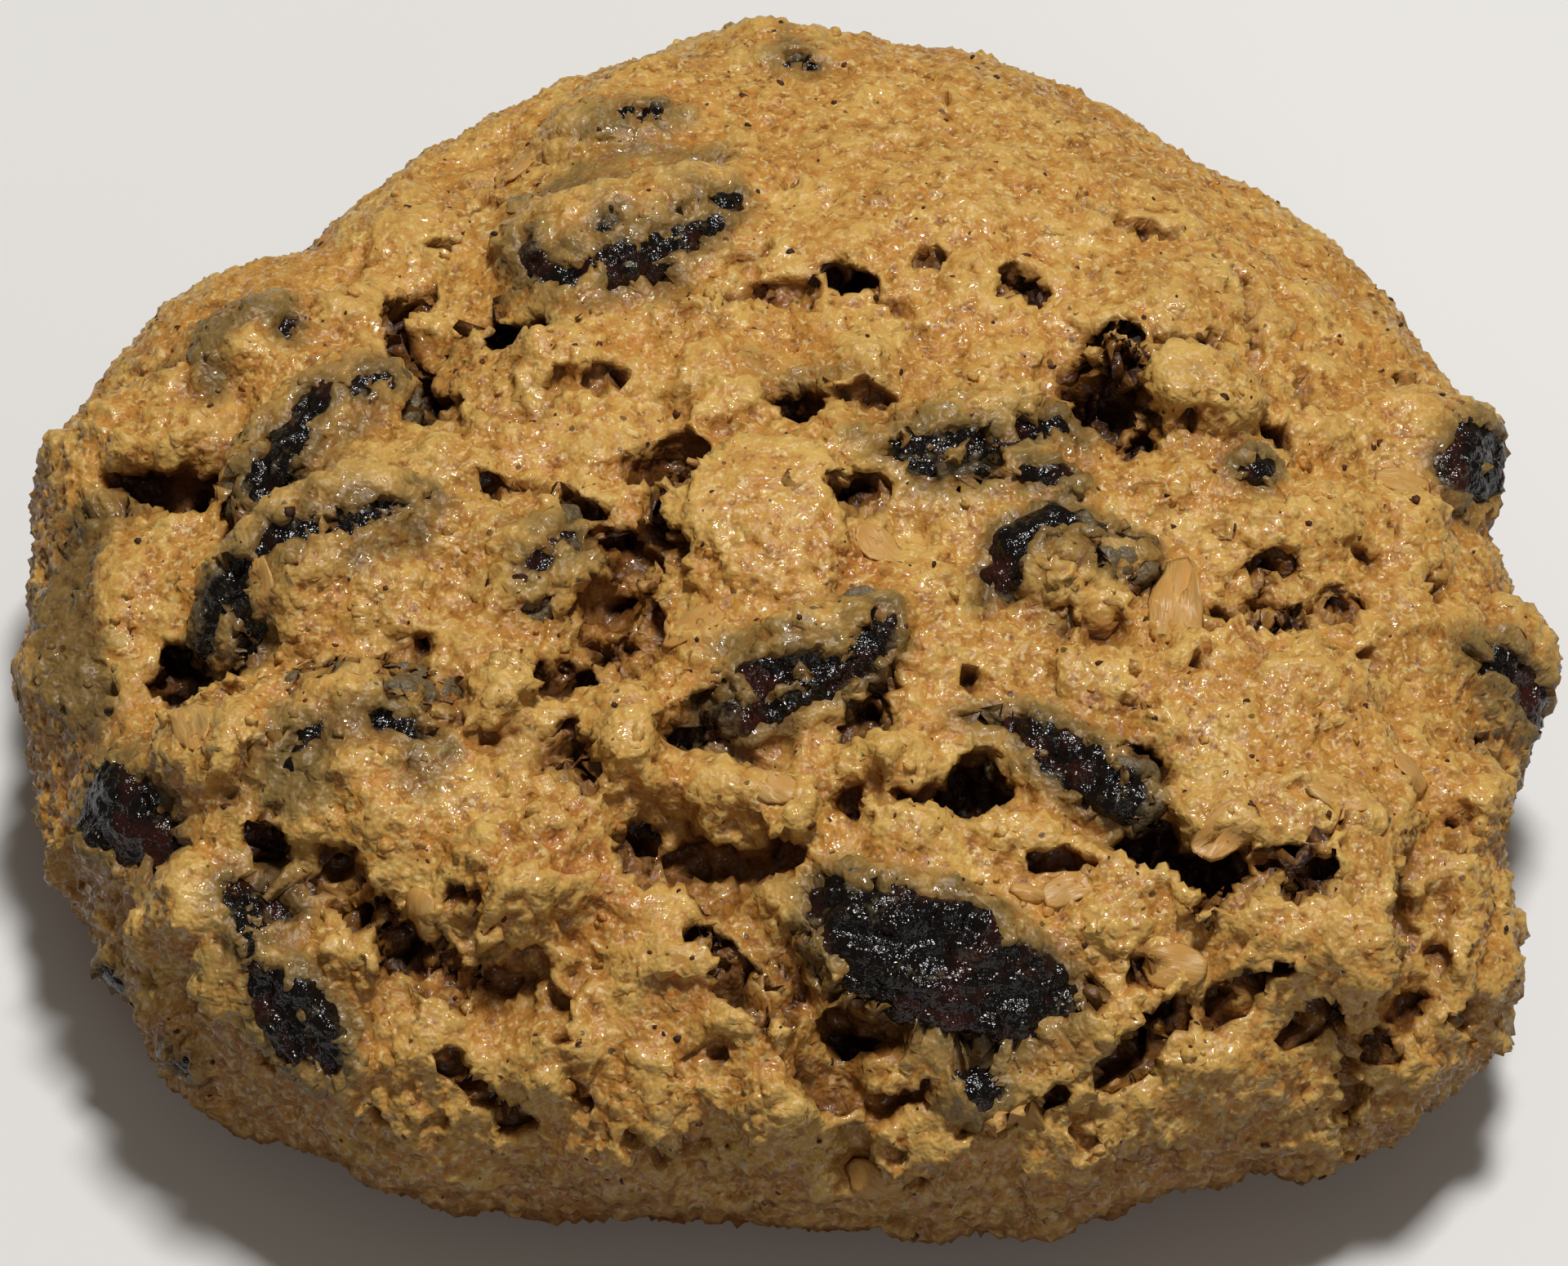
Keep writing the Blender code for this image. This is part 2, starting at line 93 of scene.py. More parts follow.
# Cracks and hollows that opened in the oven: half width, depth, and the points each runs through, in mm.
CRACKS = (
    (0.65, 1.4, (-23, 12), (-22, 13), (-21.5, 15.5)),
    (0.5, 2.2, (-18.5, 11.5), (-19, 10), (-19, 8), (-18.5, 6), (-17.5, 3.5), (-17, 1.5)),
    (0.35, 0.9, (-23.5, 5.5), (-22.5, 5.5)),
    (0.9, 1.1, (-32.5, 7.5), (-30.5, 7.5), (-29.5, 7)),
    (0.3, 0.7, (-16, 17.5), (-15, 18), (-15, 20.5)),
    (0.3, 0.5, (-17, 21), (-15, 20.5)),
    (0.55, 2.2, (-14, 7), (-12.5, 6.5), (-11.5, 5.5)),
    (0.7, 1.1, (-14, 1), (-12.5, 0), (-10.5, 2), (-9, 2), (-7.5, 2.5)),
    (0.3, 0.8, (-2, 10.5), (-1.5, 11), (-1, 11.5)),
    (0.4, 1.4, (3, 9), (4, 9.5)),
    (0.3, 0.8, (4, 10), (5, 9), (6, 7.5)),
    (0.25, 0.7, (-2.5, 8), (-1, 8.5), (0, 8.5), (1, 9), (1.5, 8)),
    (0.45, 1.7, (11.5, 8.5), (12.5, 9), (12.5, 10.5)),
    (0.4, 1.6, (12.5, 9), (13, 8.5), (13.5, 9)),
    (0.25, 0.6, (-3.5, 6.5), (-2.5, 6)),
    (0.25, 0.5, (-5, 7), (-4, 6.5)),
    (0.25, 0.5, (8.5, 22.5), (10, 22.5)),
    (0.25, 0.4, (5, 25), (6, 25)),
    (0.65, 2.6, (0.5, -1.5), (1.5, -1), (2.5, -2.5)),
    (0.8, 1.1, (-5, 0), (-3.5, -2), (-1, -0.5), (0, 0)),
    (0.5, 0.8, (2, 1), (3.5, 0.5), (5.5, 1)),
    (0.7, 0.8, (16, 22.5), (17, 22), (18, 21.5)),
    (0.5, 0.9, (16.5, 16.5), (18, 15), (20, 15.5), (23, 16)),
    (0.4, 0.6, (23, 14.5), (24.5, 12), (24.5, 9), (24.5, 4.5)),
    (0.55, 1.9, (19.5, 6), (21, 5.5), (22, 5)),
    (0.3, 1.1, (22, 6), (23, 7)),
    (0.6, 2.3, (16.5, 5.5), (17, 4.5), (18, 4)),
    (0.5, 1.2, (18, 4), (19.5, 4)),
    (0.7, 2.2, (14.5, 3.5), (16, 1.5), (17, -0.5), (17.5, -1)),
    (0.55, 1.6, (17.5, 0.5), (18, 1), (18, -0.5)),
    (0.65, 0.9, (24.5, 12.5), (25.5, 11), (26.5, 12)),
    (0.5, 0.9, (27, 6), (27, 4)),
    (0.55, 1.2, (32.5, 8), (33.5, 9), (34.5, 8)),
    (0.55, 1.6, (24.5, 0.5), (25.5, 0)),
    (0.7, 2.0, (-33.5, 1), (-32, 0.5), (-30, -0.5), (-28.5, -0.5), (-26.5, -2.5)),
    (0.7, 2.0, (-27, -2), (-27, -5)),
    (0.65, 2.4, (-29, -12.5), (-28.5, -11)),
    (0.65, 2.4, (-25.5, -14), (-25, -13)),
    (0.5, 1.7, (-22, -16), (-20, -15.5), (-18.5, -14.5)),
    (0.65, 1.9, (-17.5, -15), (-16.5, -17.5), (-15.5, -19.5)),
    (0.8, 1.0, (-14, -20), (-12, -20.5), (-11, -22)),
    (0.3, 0.7, (-23.5, -19.5), (-25, -20.5), (-25.5, -22)),
    (0.8, 1.5, (-30, -20), (-29, -21.5), (-27.5, -23), (-27, -24)),
    (0.3, 0.7, (-29, -16), (-27.5, -16), (-26, -15.5)),
    (0.3, 0.8, (-14, -4.5), (-12, -4.5), (-11.5, -5)),
    (0.3, 1.4, (-12, -11.5), (-11.5, -12)),
    (0.6, 2.6, (-6, -4.5), (-5, -5), (-4, -4.5)),
    (0.4, 1.8, (-11, -5), (-10, -5.5), (-8.5, -6.5)),
    (0.5, 2.0, (-8.5, -8), (-7, -8), (-6, -9)),
    (0.5, 1.7, (-6, -6.5), (-6, -8.5)),
    (0.35, 2.2, (-8.5, -11.5), (-8.5, -13)),
    (0.55, 1.0, (-5.5, -9.5), (-6.5, -11), (-6.5, -12.5), (-7.5, -14.5)),
    (0.7, 1.6, (-11, -16.5), (-10, -15.5), (-9.5, -14.5)),
    (0.4, 1.8, (-5.5, -19), (-4, -19), (-2.5, -18)),
    (0.65, 1.6, (-2.5, -20), (-1, -21), (0.5, -22), (2, -22.5)),
    (0.7, 2.4, (2, -21), (3, -21), (3.5, -22.5), (4, -24)),
    (0.5, 2.2, (3.5, -19), (4.5, -18.5)),
    (0.7, 2.4, (6.5, -22), (8, -22.5), (9.5, -23), (11.5, -22), (13, -21.5)),
    (0.65, 2.4, (7, -22), (7.5, -20.5)),
    (0.55, 2.6, (-6.5, -23.5), (-6, -24.5), (-6, -26)),
    (0.65, 1.4, (-5.5, -25.5), (-4, -24.5), (-2.5, -25.5), (0, -25.5), (1.5, -25.5)),
    (0.45, 1.8, (-10, -19.5), (-9.5, -21.5), (-8.5, -23)),
    (0.6, 2.6, (3.5, -5.5), (4, -6), (5, -5.5)),
    (0.4, 0.9, (4, -17.5), (5, -17), (6, -16.5)),
    (0.55, 1.5, (10.5, -10.5), (10.5, -11)),
    (0.5, 1.5, (21, -11), (23, -11), (23.5, -9.5), (25, -8.5)),
    (0.6, 2.3, (23.5, -12), (24.5, -10.5), (26, -10.5), (28, -9)),
    (0.7, 1.0, (27, -6), (28, -6.5), (29.5, -6.5)),
    (0.3, 0.8, (20, -11), (20.5, -12), (21, -12.5)),
    (0.25, 0.4, (21.5, -13.5), (23, -14)),
    (0.35, 1.0, (19.5, -15.5), (20.5, -14.5)),
    (0.3, 0.8, (29, -12.5), (29.5, -13)),
    (0.25, 0.8, (35, -13.5)),
    (0.8, 2.8, (16, -21), (17.5, -21)),
    (0.65, 2.4, (17, -22.5), (17, -23.5), (18.5, -24.5), (19, -25.5)),
    (0.55, 1.7, (-24, -23), (-24, -24), (-23.5, -25.5)),
    (0.45, 2.0, (-22, -26), (-21, -25.5), (-20, -25.5)),
    (0.5, 1.7, (-20, -27), (-19.5, -27.5), (-18, -28), (-18, -29), (-17, -29.5), (-16.5, -29.5)),
    (0.35, 1.1, (-14, -28), (-13.5, -29)),
    (0.35, 1.2, (-16.5, -30.5), (-15.5, -30.5), (-14.5, -31), (-14, -31.5)),
    (0.7, 1.2, (-13, -30.5), (-11.5, -31), (-11, -32)),
    (0.35, 1.2, (-15, -34), (-13.5, -35.5), (-12.5, -36), (-12, -36)),
    (0.45, 1.6, (-3.5, -29.5), (-2.5, -30), (-2, -31), (-1.5, -32), (-0.5, -33), (-0.5, -33.5)),
    (0.25, 1.0, (-2, -31.5), (-1, -31)),
    (0.35, 1.4, (0, -30), (0.5, -31.5), (1, -32), (2, -33)),
    (0.7, 1.2, (-6, -32), (-4.5, -32)),
    (0.3, 1.3, (-10.5, -32.5), (-10, -33.5)),
    (0.8, 1.0, (-9.5, -29.5), (-8.5, -31), (-9.5, -31.5)),
    (0.25, 0.9, (-9, -35.5), (-8.5, -36)),
    (0.7, 2.2, (3.5, -35), (4, -36), (4, -37)),
    (0.8, 2.0, (4, -36.5), (5.5, -36.5), (7, -36)),
    (0.8, 2.2, (2.5, -33), (3, -34)),
    (0.4, 1.6, (9, -36.5), (10.5, -36.5), (13, -36)),
    (0.3, 0.8, (-6.5, -36.5), (-5, -37)),
    (0.25, 0.7, (-4, -35.5), (-3, -35)),
    (0.7, 2.4, (19, -25.5), (20, -26), (21, -26.5)),
    (0.5, 1.9, (21, -26.5), (22, -26.5), (23, -26), (24.5, -25.5)),
    (0.55, 1.1, (20, -26.5), (20, -28)),
    (0.4, 1.9, (24, -27.5), (24.5, -27), (25.5, -26.5)),
    (0.25, 0.9, (25.5, -27.5), (26.5, -28)),
    (0.3, 1.1, (12, -26), (13, -26), (14, -26), (15, -26)),
    (0.4, 1.4, (13.5, -31), (14.5, -32)),
    (0.3, 0.9, (17, -31), (17.5, -30.5)),
    (0.6, 2.7, (18.5, -32), (18, -32.5), (17, -33.5), (17, -34), (16, -35), (15.5, -35.5)),
    (0.3, 1.4, (23.5, -30.5), (23, -30.5), (22.5, -31), (21.5, -31), (21.5, -31.5), (20.5, -32)),
    (0.3, 1.3, (26, -31.5), (25, -32), (24.5, -32.5)),
    (0.35, 1.2, (26, -32), (27, -32.5), (28.5, -32)),
    (0.7, 1.7, (30.5, -24.5), (30.5, -26.5), (31, -28.5), (30.5, -29.5), (29.5, -31), (28.5, -32)),
    (0.55, 1.2, (32, -21.5), (32.5, -22.5)),
    (0.3, 1.3, (32, -30), (33, -29.5)),
    (0.25, 0.8, (14, -36.5), (15, -36.5)),
    (0.3, 0.8, (27, -33), (27.5, -33.5)),
)

# Small round holes where steam got out: radius, depth, and place, in mm.
PITS = (
    (0.35, 0.9, (-24.5, 8)),
    (0.6, 0.9, (-17, 15)),
    (0.45, 1.0, (-8, 2.5)),
    (0.5, 1.0, (8, 11)),
    (0.5, 0.3, (7.5, 16.5)),
    (0.3, 0.7, (7, 6)),
    (0.3, 0.6, (9, 25)),
    (0.3, 0.6, (1, 17.5)),
    (0.25, 0.5, (2.5, 15.5)),
    (0.6, 0.7, (20.5, 22.5)),
    (0.5, 0.5, (16, 11.5)),
    (0.4, 0.7, (23, 10)),
    (0.5, 1.4, (20.5, -1)),
    (0.4, 0.6, (25.5, 7.5)),
    (0.45, 0.6, (27, 9)),
    (0.7, 0.5, (28.5, 9.5)),
    (0.7, 0.9, (29.5, 5)),
    (0.4, 1.2, (-33, -12.5)),
    (0.8, 1.1, (-11.5, -11.5)),
    (0.35, 0.7, (21.5, -4.5)),
    (0.6, 0.6, (21.5, -6.5)),
    (0.7, 0.8, (20, -8)),
    (0.6, 0.8, (30.5, -4)),
    (0.6, 1.0, (33, -7)),
    (0.35, 0.8, (17.5, -11.5)),
    (0.25, 0.5, (18, -13)),
    (0.8, 1.0, (16, -13)),
    (0.5, 1.0, (14, -12.5)),
    (0.3, 0.9, (17, -16)),
    (0.55, 1.1, (25.5, -18)),
    (0.4, 0.6, (32.5, -15)),
    (0.35, 0.7, (25.5, -24.5)),
    (0.35, 0.7, (26.5, -24)),
    (0.4, 0.9, (-23, -19)),
    (0.5, 1.3, (-15, -27.5)),
    (0.7, 1.6, (-27.5, -29.5)),
    (0.6, 0.8, (-19, -35)),
    (0.4, 0.9, (-16, -36)),
    (0.4, 0.7, (-24, -32.5)),
    (0.5, 0.6, (-29.5, -27)),
    (0.35, 1.0, (-9, -35.5)),
    (0.35, 0.7, (5.5, -37.5)),
    (0.3, 0.6, (-4, -37)),
    (0.4, 0.7, (-11.5, -36.5, 8.5)),
    (0.4, 0.7, (6.5, -38)),
    (0.5, 0.7, (8.5, -11)),
    (0.3, 0.6, (9.5, -16)),
    (0.25, 0.7, (17, -18)),
    (0.3, 0.6, (-1, -37.5, 7)),
    (0.9, 0.9, (-13, -16.5)),
    (0.7, 1.0, (6.5, -16.5)),
    (0.5, 0.8, (14, -10)),
)

# Lumps of dough that stand out between the cracks: height, middle, half length along X and along Y, in mm.
PLATES = (
    (0.7, (-21.5, 9.5), 2.5, 2),
    (0.7, (-20.5, 6), 1.5, 1.5),
    (0.7, (-32.5, 5), 3, 2.5),
    (0.6, (-25.5, 6.5), 2.5, 1.5),
    (0.5, (-20.5, 18), 3, 4),
    (0.4, (3.5, 31), 2.5, 3),
    (0.6, (5.5, 3.5), 3, 2.5),
    (0.5, (-3, 3), 3.5, 2),
    (0.6, (-10.5, 4), 2.5, 2),
    (0.8, (21, 10.5), 3, 3.5),
    (1.0, (21.5, 1.5), 3.5, 2.5),
    (0.6, (17, 6.5), 1.5, 1.5),
    (0.5, (29.5, 12.5), 3.5, 3),
    (0.5, (32.5, 4.5), 2, 2.5),
    (0.5, (13, 17), 5, 4.5),
    (1.1, (-30.5, 2), 4, 2),
    (0.6, (-30, -6), 4.5, 4),
    (1.1, (-27.5, -19), 4, 2.5),
    (1.0, (-20, -19.5), 3.5, 3),
    (0.9, (-20, -11.5), 5, 3),
    (1.2, (-13.5, -17.5), 2, 2.5),
    (0.7, (-34, -17.5), 3, 1),
    (0.6, (-15, -2), 3, 3),
    (0.6, (-15.5, -7), 3, 2),
    (1.5, (-0.5, -8), 4.5, 5.5),
    (0.8, (-2, -13.5), 3.5, 2.5),
    (0.9, (5, -21), 1, 1.5),
    (1.1, (-7, -21), 1.5, 2),
    (0.7, (-1, -23), 4, 2),
    (0.8, (6, -24.5), 2.5, 2),
    (0.8, (11.5, -24), 2.5, 2),
    (0.6, (16.5, -26), 2.5, 2),
    (0.6, (9.5, -13), 3.5, 3.5),
    (0.7, (23.5, -17.5), 6, 5.5),
    (0.8, (25, -5), 4.5, 3),
    (0.8, (15, -11), 3, 1.5),
    (0.5, (19.5, -4), 3, 1.5),
    (0.6, (32, -1), 2, 3.5),
    (0.7, (15.5, -15.5), 2.5, 2.5),
    (1.2, (-28, -26.5), 5, 2),
    (0.8, (-20, -29), 2.5, 2),
    (0.7, (-18.5, -26.5), 1.5, 1),
    (0.6, (-16, -28), 1.5, 1.5),
    (1.2, (-11.5, -26.5), 4, 3),
    (0.9, (-5, -31), 3, 1.5),
    (1.2, (0, -36), 3, 1),
    (0.7, (-2, -33.5), 2.5, 1),
    (0.7, (-10, -34), 3, 1.5),
    (0.8, (0.5, -34), 1.5, 1),
    (0.5, (8, -35.5), 1.5, 1),
    (0.5, (11, -35.5), 2, 1),
    (0.8, (24.5, -29.5), 5, 2.5),
    (0.7, (15, -33.5), 1.5, 1.5),
    (0.6, (20.5, -34), 3, 1),
    (0.5, (19, -30.5), 2, 1),
    (0.6, (15.5, -28.5), 2.5, 2),
    (0.7, (33.5, -25.5), 3, 4),
    (0.5, (30.5, -32), 3, 1),
    (0.5, (-18, -33), 3, 1.5),
    (0.5, (14.5, -37), 3.5, 1),
    (0.5, (-7, -37), 4, 1),
    (0.5, (28, -21), 3, 3),
    (0.5, (20.5, -22), 2.5, 3),
)

# Where each raisin's skin is bare: the raisin, the half width of the bare streak, and the points it runs through,
# all in mm. A point of two numbers is a place in plan, at whatever height the cookie is there.
BARE = (
    ("raisin_back_rim", 0.6, (1, 29), (2, 28.5)),
    ("raisin_back_small", 0.45, (-9, 22), (-8, 23), (-6.5, 23)),
    ("raisin_back_small", 0.3, (-4.5, 19), (-3, 19.5)),
    ("raisin_back_large", 0.8, (-12.5, 12), (-12, 11), (-10.5, 9.5), (-9.5, 8.5), (-8, 9), (-5.5, 9.5)),
    ("raisin_back_large", 0.9, (-9.5, 10), (-7, 10.5), (-5, 11.5), (-3.5, 12.5)),
    ("raisin_back_large", 0.45, (-9, 11.5), (-8.5, 12.5)),
    ("raisin_back_large", 0.6, (-4.5, 13.5), (-3.5, 14.5), (-2, 15)),
    ("raisin_back_large", 0.35, (-10, 17), (-8.5, 17.5), (-6.5, 17.5)),
    ("raisin_left_back", 0.35, (-28.5, 8.5), (-28, 9.5), (-27, 9)),
    ("raisin_left_back", 0.4, (-25, 8.5), (-24.5, 7.5)),
    ("raisin_left_upper", 0.6, (-19.5, 3), (-21, 2.5), (-22.5, 2)),
    ("raisin_left_upper", 0.9, (-22.5, 2), (-23.5, 0.5), (-24, -1)),
    ("raisin_left_upper", 1.15, (-24.5, -1), (-25, -2.5), (-24.5, -3.5), (-23.5, -3.5)),
    ("raisin_left_arc", 0.3, (-17, -6), (-19.5, -7), (-21.5, -8)),
    ("raisin_left_arc", 0.5, (-19, -7), (-20, -8), (-21.5, -8.5)),
    ("raisin_left_arc", 0.65, (-21.5, -8), (-24, -8.5), (-25.5, -9.5)),
    ("raisin_left_arc", 0.85, (-25.5, -9.5), (-27, -10.5), (-27.5, -12.5)),
    ("raisin_left_arc", 0.65, (-25, -10), (-25.5, -11.5), (-25.5, -13.5)),
    ("raisin_left_edge", 0.35, (-36.5, -1), (-35.5, -1), (-32.5, -1)),
    ("raisin_left_edge", 0.3, (-35, -5), (-34.5, -5)),
    ("raisin_left_low", 0.4, (-23, -21), (-22.5, -20), (-21.5, -19.5)),
    ("raisin_left_low", 0.5, (-18.5, -19), (-17.5, -19.5), (-16, -20)),
    ("raisin_left_low", 0.3, (-16.5, -20.5), (-17, -22)),
    ("raisin_left_pit", 2.1, (-32.5, -19), (-31, -21), (-30, -22.5)),
    ("raisin_front_left", 1.0, (-25, -26.5), (-23.5, -26), (-23, -26.5)),
    ("raisin_front_left", 0.7, (-24.5, -27.5), (-24.5, -29), (-24, -30)),
    ("raisin_front_left", 1.1, (-23.5, -30.5), (-23, -31.5), (-22.5, -32.5)),
    ("raisin_front_left", 0.9, (-22, -31), (-21, -32), (-21, -33)),
    ("raisin_middle", 0.85, (-3, -18.5), (0, -18.5), (2.5, -17.5)),
    ("raisin_middle", 0.9, (-0.5, -17), (2, -17), (4, -16), (5, -14.5)),
    ("raisin_middle", 0.35, (-2.5, -17), (-1.5, -16.5)),
    ("raisin_centre_bar", 0.65, (6, -3), (8, -2.5), (10, -2), (12, -1.5), (15, -0.5)),
    ("raisin_centre_bar", 0.75, (7, -4), (9, -4.5), (10, -3.5)),
    ("raisin_centre_chip", 0.45, (12, -4), (13.5, -4.5), (14.5, -4)),
    ("raisin_centre_arch", 0.95, (11, -10), (11.5, -8.5), (12.5, -7.5), (14, -7)),
    ("raisin_centre_arch", 0.55, (14, -7), (16, -7), (17.5, -7.5)),
    ("raisin_centre_left", 0.5, (-11.5, -9.5), (-11, -8.5)),
    ("raisin_centre_left", 0.4, (-10, -7.5), (-9.5, -8.5)),
    ("raisin_fissure", 0.65, (9.5, -18), (11.5, -18.5), (13, -20)),
    ("raisin_fissure", 1.2, (13, -20), (14.5, -21.5), (16, -23)),
    ("raisin_front_large", 1.3, (2.5, -28), (3.5, -29.5), (4.5, -31.5)),
    ("raisin_front_large", 1.5, (5, -29), (7, -29.5), (9, -30)),
    ("raisin_front_large", 1.7, (4.5, -31.5), (7, -32), (9.5, -31.5), (12.5, -32)),
    ("raisin_front_large", 1.5, (6, -33), (8, -33.5), (11, -33)),
    ("raisin_front_chip", 0.85, (9, -34.5), (9.5, -35.5)),
    ("raisin_right_rim", 1.2, (34.5, 1.5), (35.5, 3.5), (37, 4)),
    ("raisin_right_rim", 1.0, (35, 1), (36.5, 2.5)),
    ("raisin_right_edge", 0.9, (34.5, -10.5), (36, -10), (37.5, -10.5)),
    ("raisin_right_edge", 0.9, (37.5, -10.5, 13), (38, -10.5, 10), (38.5, -10.5, 7.5)),
    ("raisin_right_speck", 0.75, (23.5, -3), (24, -2.5)),
    ("raisin_low_left_chip", 0.8, (-32, -25, 9)),
    ("raisin_foot_chip", 0.8, (-28.5, -29.5, 8.5)),
)

# Greyed dough beside the raisins: strength, half width, and the points each runs through, in mm.
STAINS = (
    (1.0, 2.0, (-35, -2), (-35, -6.5), (-34.5, -11), (-33.5, -14)),
    (0.9, 1.2, (-28, 7.5), (-28.5, 6), (-28.5, 5)),
    (0.8, 0.8, (0.5, 30.5), (1.5, 29.5)),
    (0.7, 0.8, (-1, 33), (0, 32)),
    (0.75, 2.0, (-22.5, -22), (-21, -20), (-18.5, -19)),
    (0.8, 1.0, (-15.5, -20.5), (-16.5, -22.5)),
    (0.6, 1.6, (-13, 16), (-11, 18.5), (-7.5, 20.5), (-4, 20)),
    (0.6, 1.2, (-13, 11), (-11, 7.5), (-8, 8)),
    (0.7, 1.2, (-20.5, 1), (-22, -2), (-22.5, -6.5)),
    (0.8, 1.0, (-17, -7.5), (-20, -9.5), (-23, -10)),
    (0.7, 1.0, (-2.5, -15), (0, -15), (2.5, -15)),
    (0.6, 1.0, (3.5, -3), (5.5, -1.5), (12, 0)),
    (0.5, 1.2, (10.5, -5), (15, -5)),
    (0.8, 1.0, (13.5, -10), (15, -9.5), (16.5, -9.5)),
    (0.7, 1.2, (6, -28), (9.5, -29.5), (11.5, -30)),
    (0.7, 1.0, (12.5, -18), (14.5, -20.5), (15.5, -22)),
    (0.7, 1.0, (11, -9.5), (10, -11.5)),
    (0.6, 0.9, (-13, -7.5), (-10.5, -6.5), (-9, -7.5)),
    (0.6, 1.0, (-0.5, -27.5), (1.5, -27.5)),
    (0.5, 1.0, (13.5, -34.5), (14.5, -34.5)),
    (0.7, 1.2, (-25.5, -22), (-24.5, -20.5)),
    (0.5, 1.5, (-0.5, 3), (2.5, 2), (4.5, 1.5)),
)

# Lumps that stand apart between cracks: half length, half width, half height, middle in mm, and turn in degrees.
LUMPS = (
    (5.0, 2.2, 2.2, (-1.5, -22, 19.2), -12),
    (1.9, 2.0, 1.8, (-7, -21.5, 21), 0),
    (2.3, 1.8, 1.6, (-14, -17.5, 20.8), 20),
    (3.4, 2.6, 2.4, (20.5, 1.5, 20.8), 0),
    (2.6, 1.6, 1.5, (3, -21, 20.3), 10),
    (2.4, 1.5, 1.6, (6.5, -20.5, 20.2), -20),
    (1.6, 1.5, 2.6, (6.5, -34.5, 12.6), 15),
    (1.3, 1.2, 2.4, (2, -33.5, 12.8), -30),
    (1.1, 1.3, 1.8, (4.5, -35.5, 11.6), 0),
    (1.5, 1.2, 1.6, (-6.5, -23.5, 18.9), 25),
)

# Soft folds between the largest lumps: half width, depth, and the points each runs through, in mm.
FOLDS = (
    (1.6, 1.6, (-5.5, -25.5), (-4, -26.5), (-2, -28), (-0.5, -30), (1, -33), (2.5, -35), (3.5, -37)),
    (1.6, 0.9, (-17.5, -16), (-12.5, -19), (-9.5, -21)),
    (1.5, 1.0, (-20.5, -26), (-18, -28.5), (-15, -30.5), (-13, -32)),
    (1.8, 0.9, (-8.5, -26.5), (-10, -29.5), (-12.5, -31.5)),
    (1.6, 1.2, (18.5, -25), (23, -27.5), (26, -27)),
    (1.5, 0.6, (12, -34), (16.5, -34), (18.5, -32)),
    (1.8, 0.7, (29, -31), (31, -25), (31.5, -19), (32.5, -13)),
    (1.5, 0.9, (-17.5, 7), (-17, 1), (-12, -3), (-8, -4), (-4, -2)),
    (1.5, 0.9, (-9, -15), (-8, -11), (-7, -6)),
    (1.4, 0.8, (-4, -2), (1, 0.5), (5, -1)),
    (1.6, 0.9, (16, -9), (20, -10), (26, -8.5)),
    (1.4, 0.7, (14, 6.5), (17, 3), (17.5, -1)),
)

# Dough that browned most: strength, half width, and the points each runs through, in mm.
TOAST = (
    (0.9, 1.6, (2.5, -9.5), (4.5, -10)),
    (0.8, 2.4, (-10, -25.5), (-8, -27.5)),
    (0.8, 2.0, (-4.5, -31), (-3, -31.5)),
    (0.8, 2.2, (0.5, -36), (1.5, -36.5)),
    (0.6, 1.4, (-12, -20), (-9.5, -21.5)),
    (0.7, 1.2, (1, -35), (2.5, -36)),
    (0.8, 1.0, (27, -16), (28, -15.5)),
    (0.6, 1.6, (-31, -23.5), (-29, -24)),
    (0.6, 1.4, (-35.5, -15), (-34, -18)),
    (0.6, 1.6, (-27.5, 0), (-25.5, 0)),
    (0.6, 1.6, (0.5, -37), (5, -37.5)),
    (0.5, 2.0, (12, 16.5), (14.5, 11)),
    (0.5, 2.0, (20.5, 13), (23, 12.5)),
    (0.7, 0.9, (-15, -34.5), (-14, -35.5)),
)

# Oat flakes that lie at the surface: length, width, place in mm, and turn in degrees.
FLAKES = (
    (5.6, 2.6, (19, -11.5), -40),
    (3.2, 2.4, (18.5, -30.5), -10),
    (2.4, 1.9, (30.5, -19.5), 55),
    (4.0, 2.4, (26.5, -22.5), 45),
    (2.6, 1.7, (13.5, -27), -40),
    (1.8, 1.0, (12, -27), -75),
    (3.0, 2.2, (31.5, 0), 55),
    (3.4, 2.2, (11, -36), -10),
    (3.0, 1.8, (4, -38), -5),
    (3.6, 2.4, (21, -24.5), 35),
    (3.0, 2.2, (-14, 21.5), 20),
    (2.6, 1.8, (-24.5, -10.5), -45),
    (3.0, 2.2, (-27, -18.5), 30),
    (3.2, 2.2, (-4, -13.5), -60),
    (2.8, 2.0, (5, -8.5), 55),
    (3.0, 2.0, (-0.5, -23), -25),
    (2.6, 2.0, (28, -30.5), 45),
    (2.8, 1.8, (-17, -28), -70),
)


def linear(code, alpha=1.0):
    """An sRGB hex colour as the linear values that Blender's sockets take."""
    steps = [int(code[k : k + 2], 16) / 255 for k in (1, 3, 5)]
    return (*(s / 12.92 if s <= 0.04045 else ((s + 0.055) / 1.055) ** 2.4 for s in steps), alpha)


def add(tree, kind, inputs=None, **settings):
    """Adds a node with its settings, and sets or links its inputs."""
    made = tree.nodes.new(kind)
    for name, value in settings.items():
        setattr(made, name, value)
    for key, value in (inputs or {}).items():
        if isinstance(value, bpy.types.Node):
            value = value.outputs[0]
        if isinstance(value, bpy.types.NodeSocket):
            tree.links.new(value, made.inputs[key])
        else:
            made.inputs[key].default_value = value
    return made


# --- shapes ----------------------------------------------------------------------------------


def node_bmesh(name):
    """A copy of a CAD node's shape, its loose triangles merged."""
    bm = bmesh.new()
    bm.from_mesh(frame["nodes"][name].data)
    bmesh.ops.remove_doubles(bm, verts=bm.verts, dist=0.002 * MM)
    return bm


def grow(bm, distance):
    """Moves a skin out along its normals, but leaves its flat foot on the floor."""
    bm.normal_update()
    for vert, step in [(v, v.normal * distance) for v in bm.verts]:
        standing = vert.co.z < 0.3 * MM
        vert.co += step
        if standing:
            vert.co.z = 0


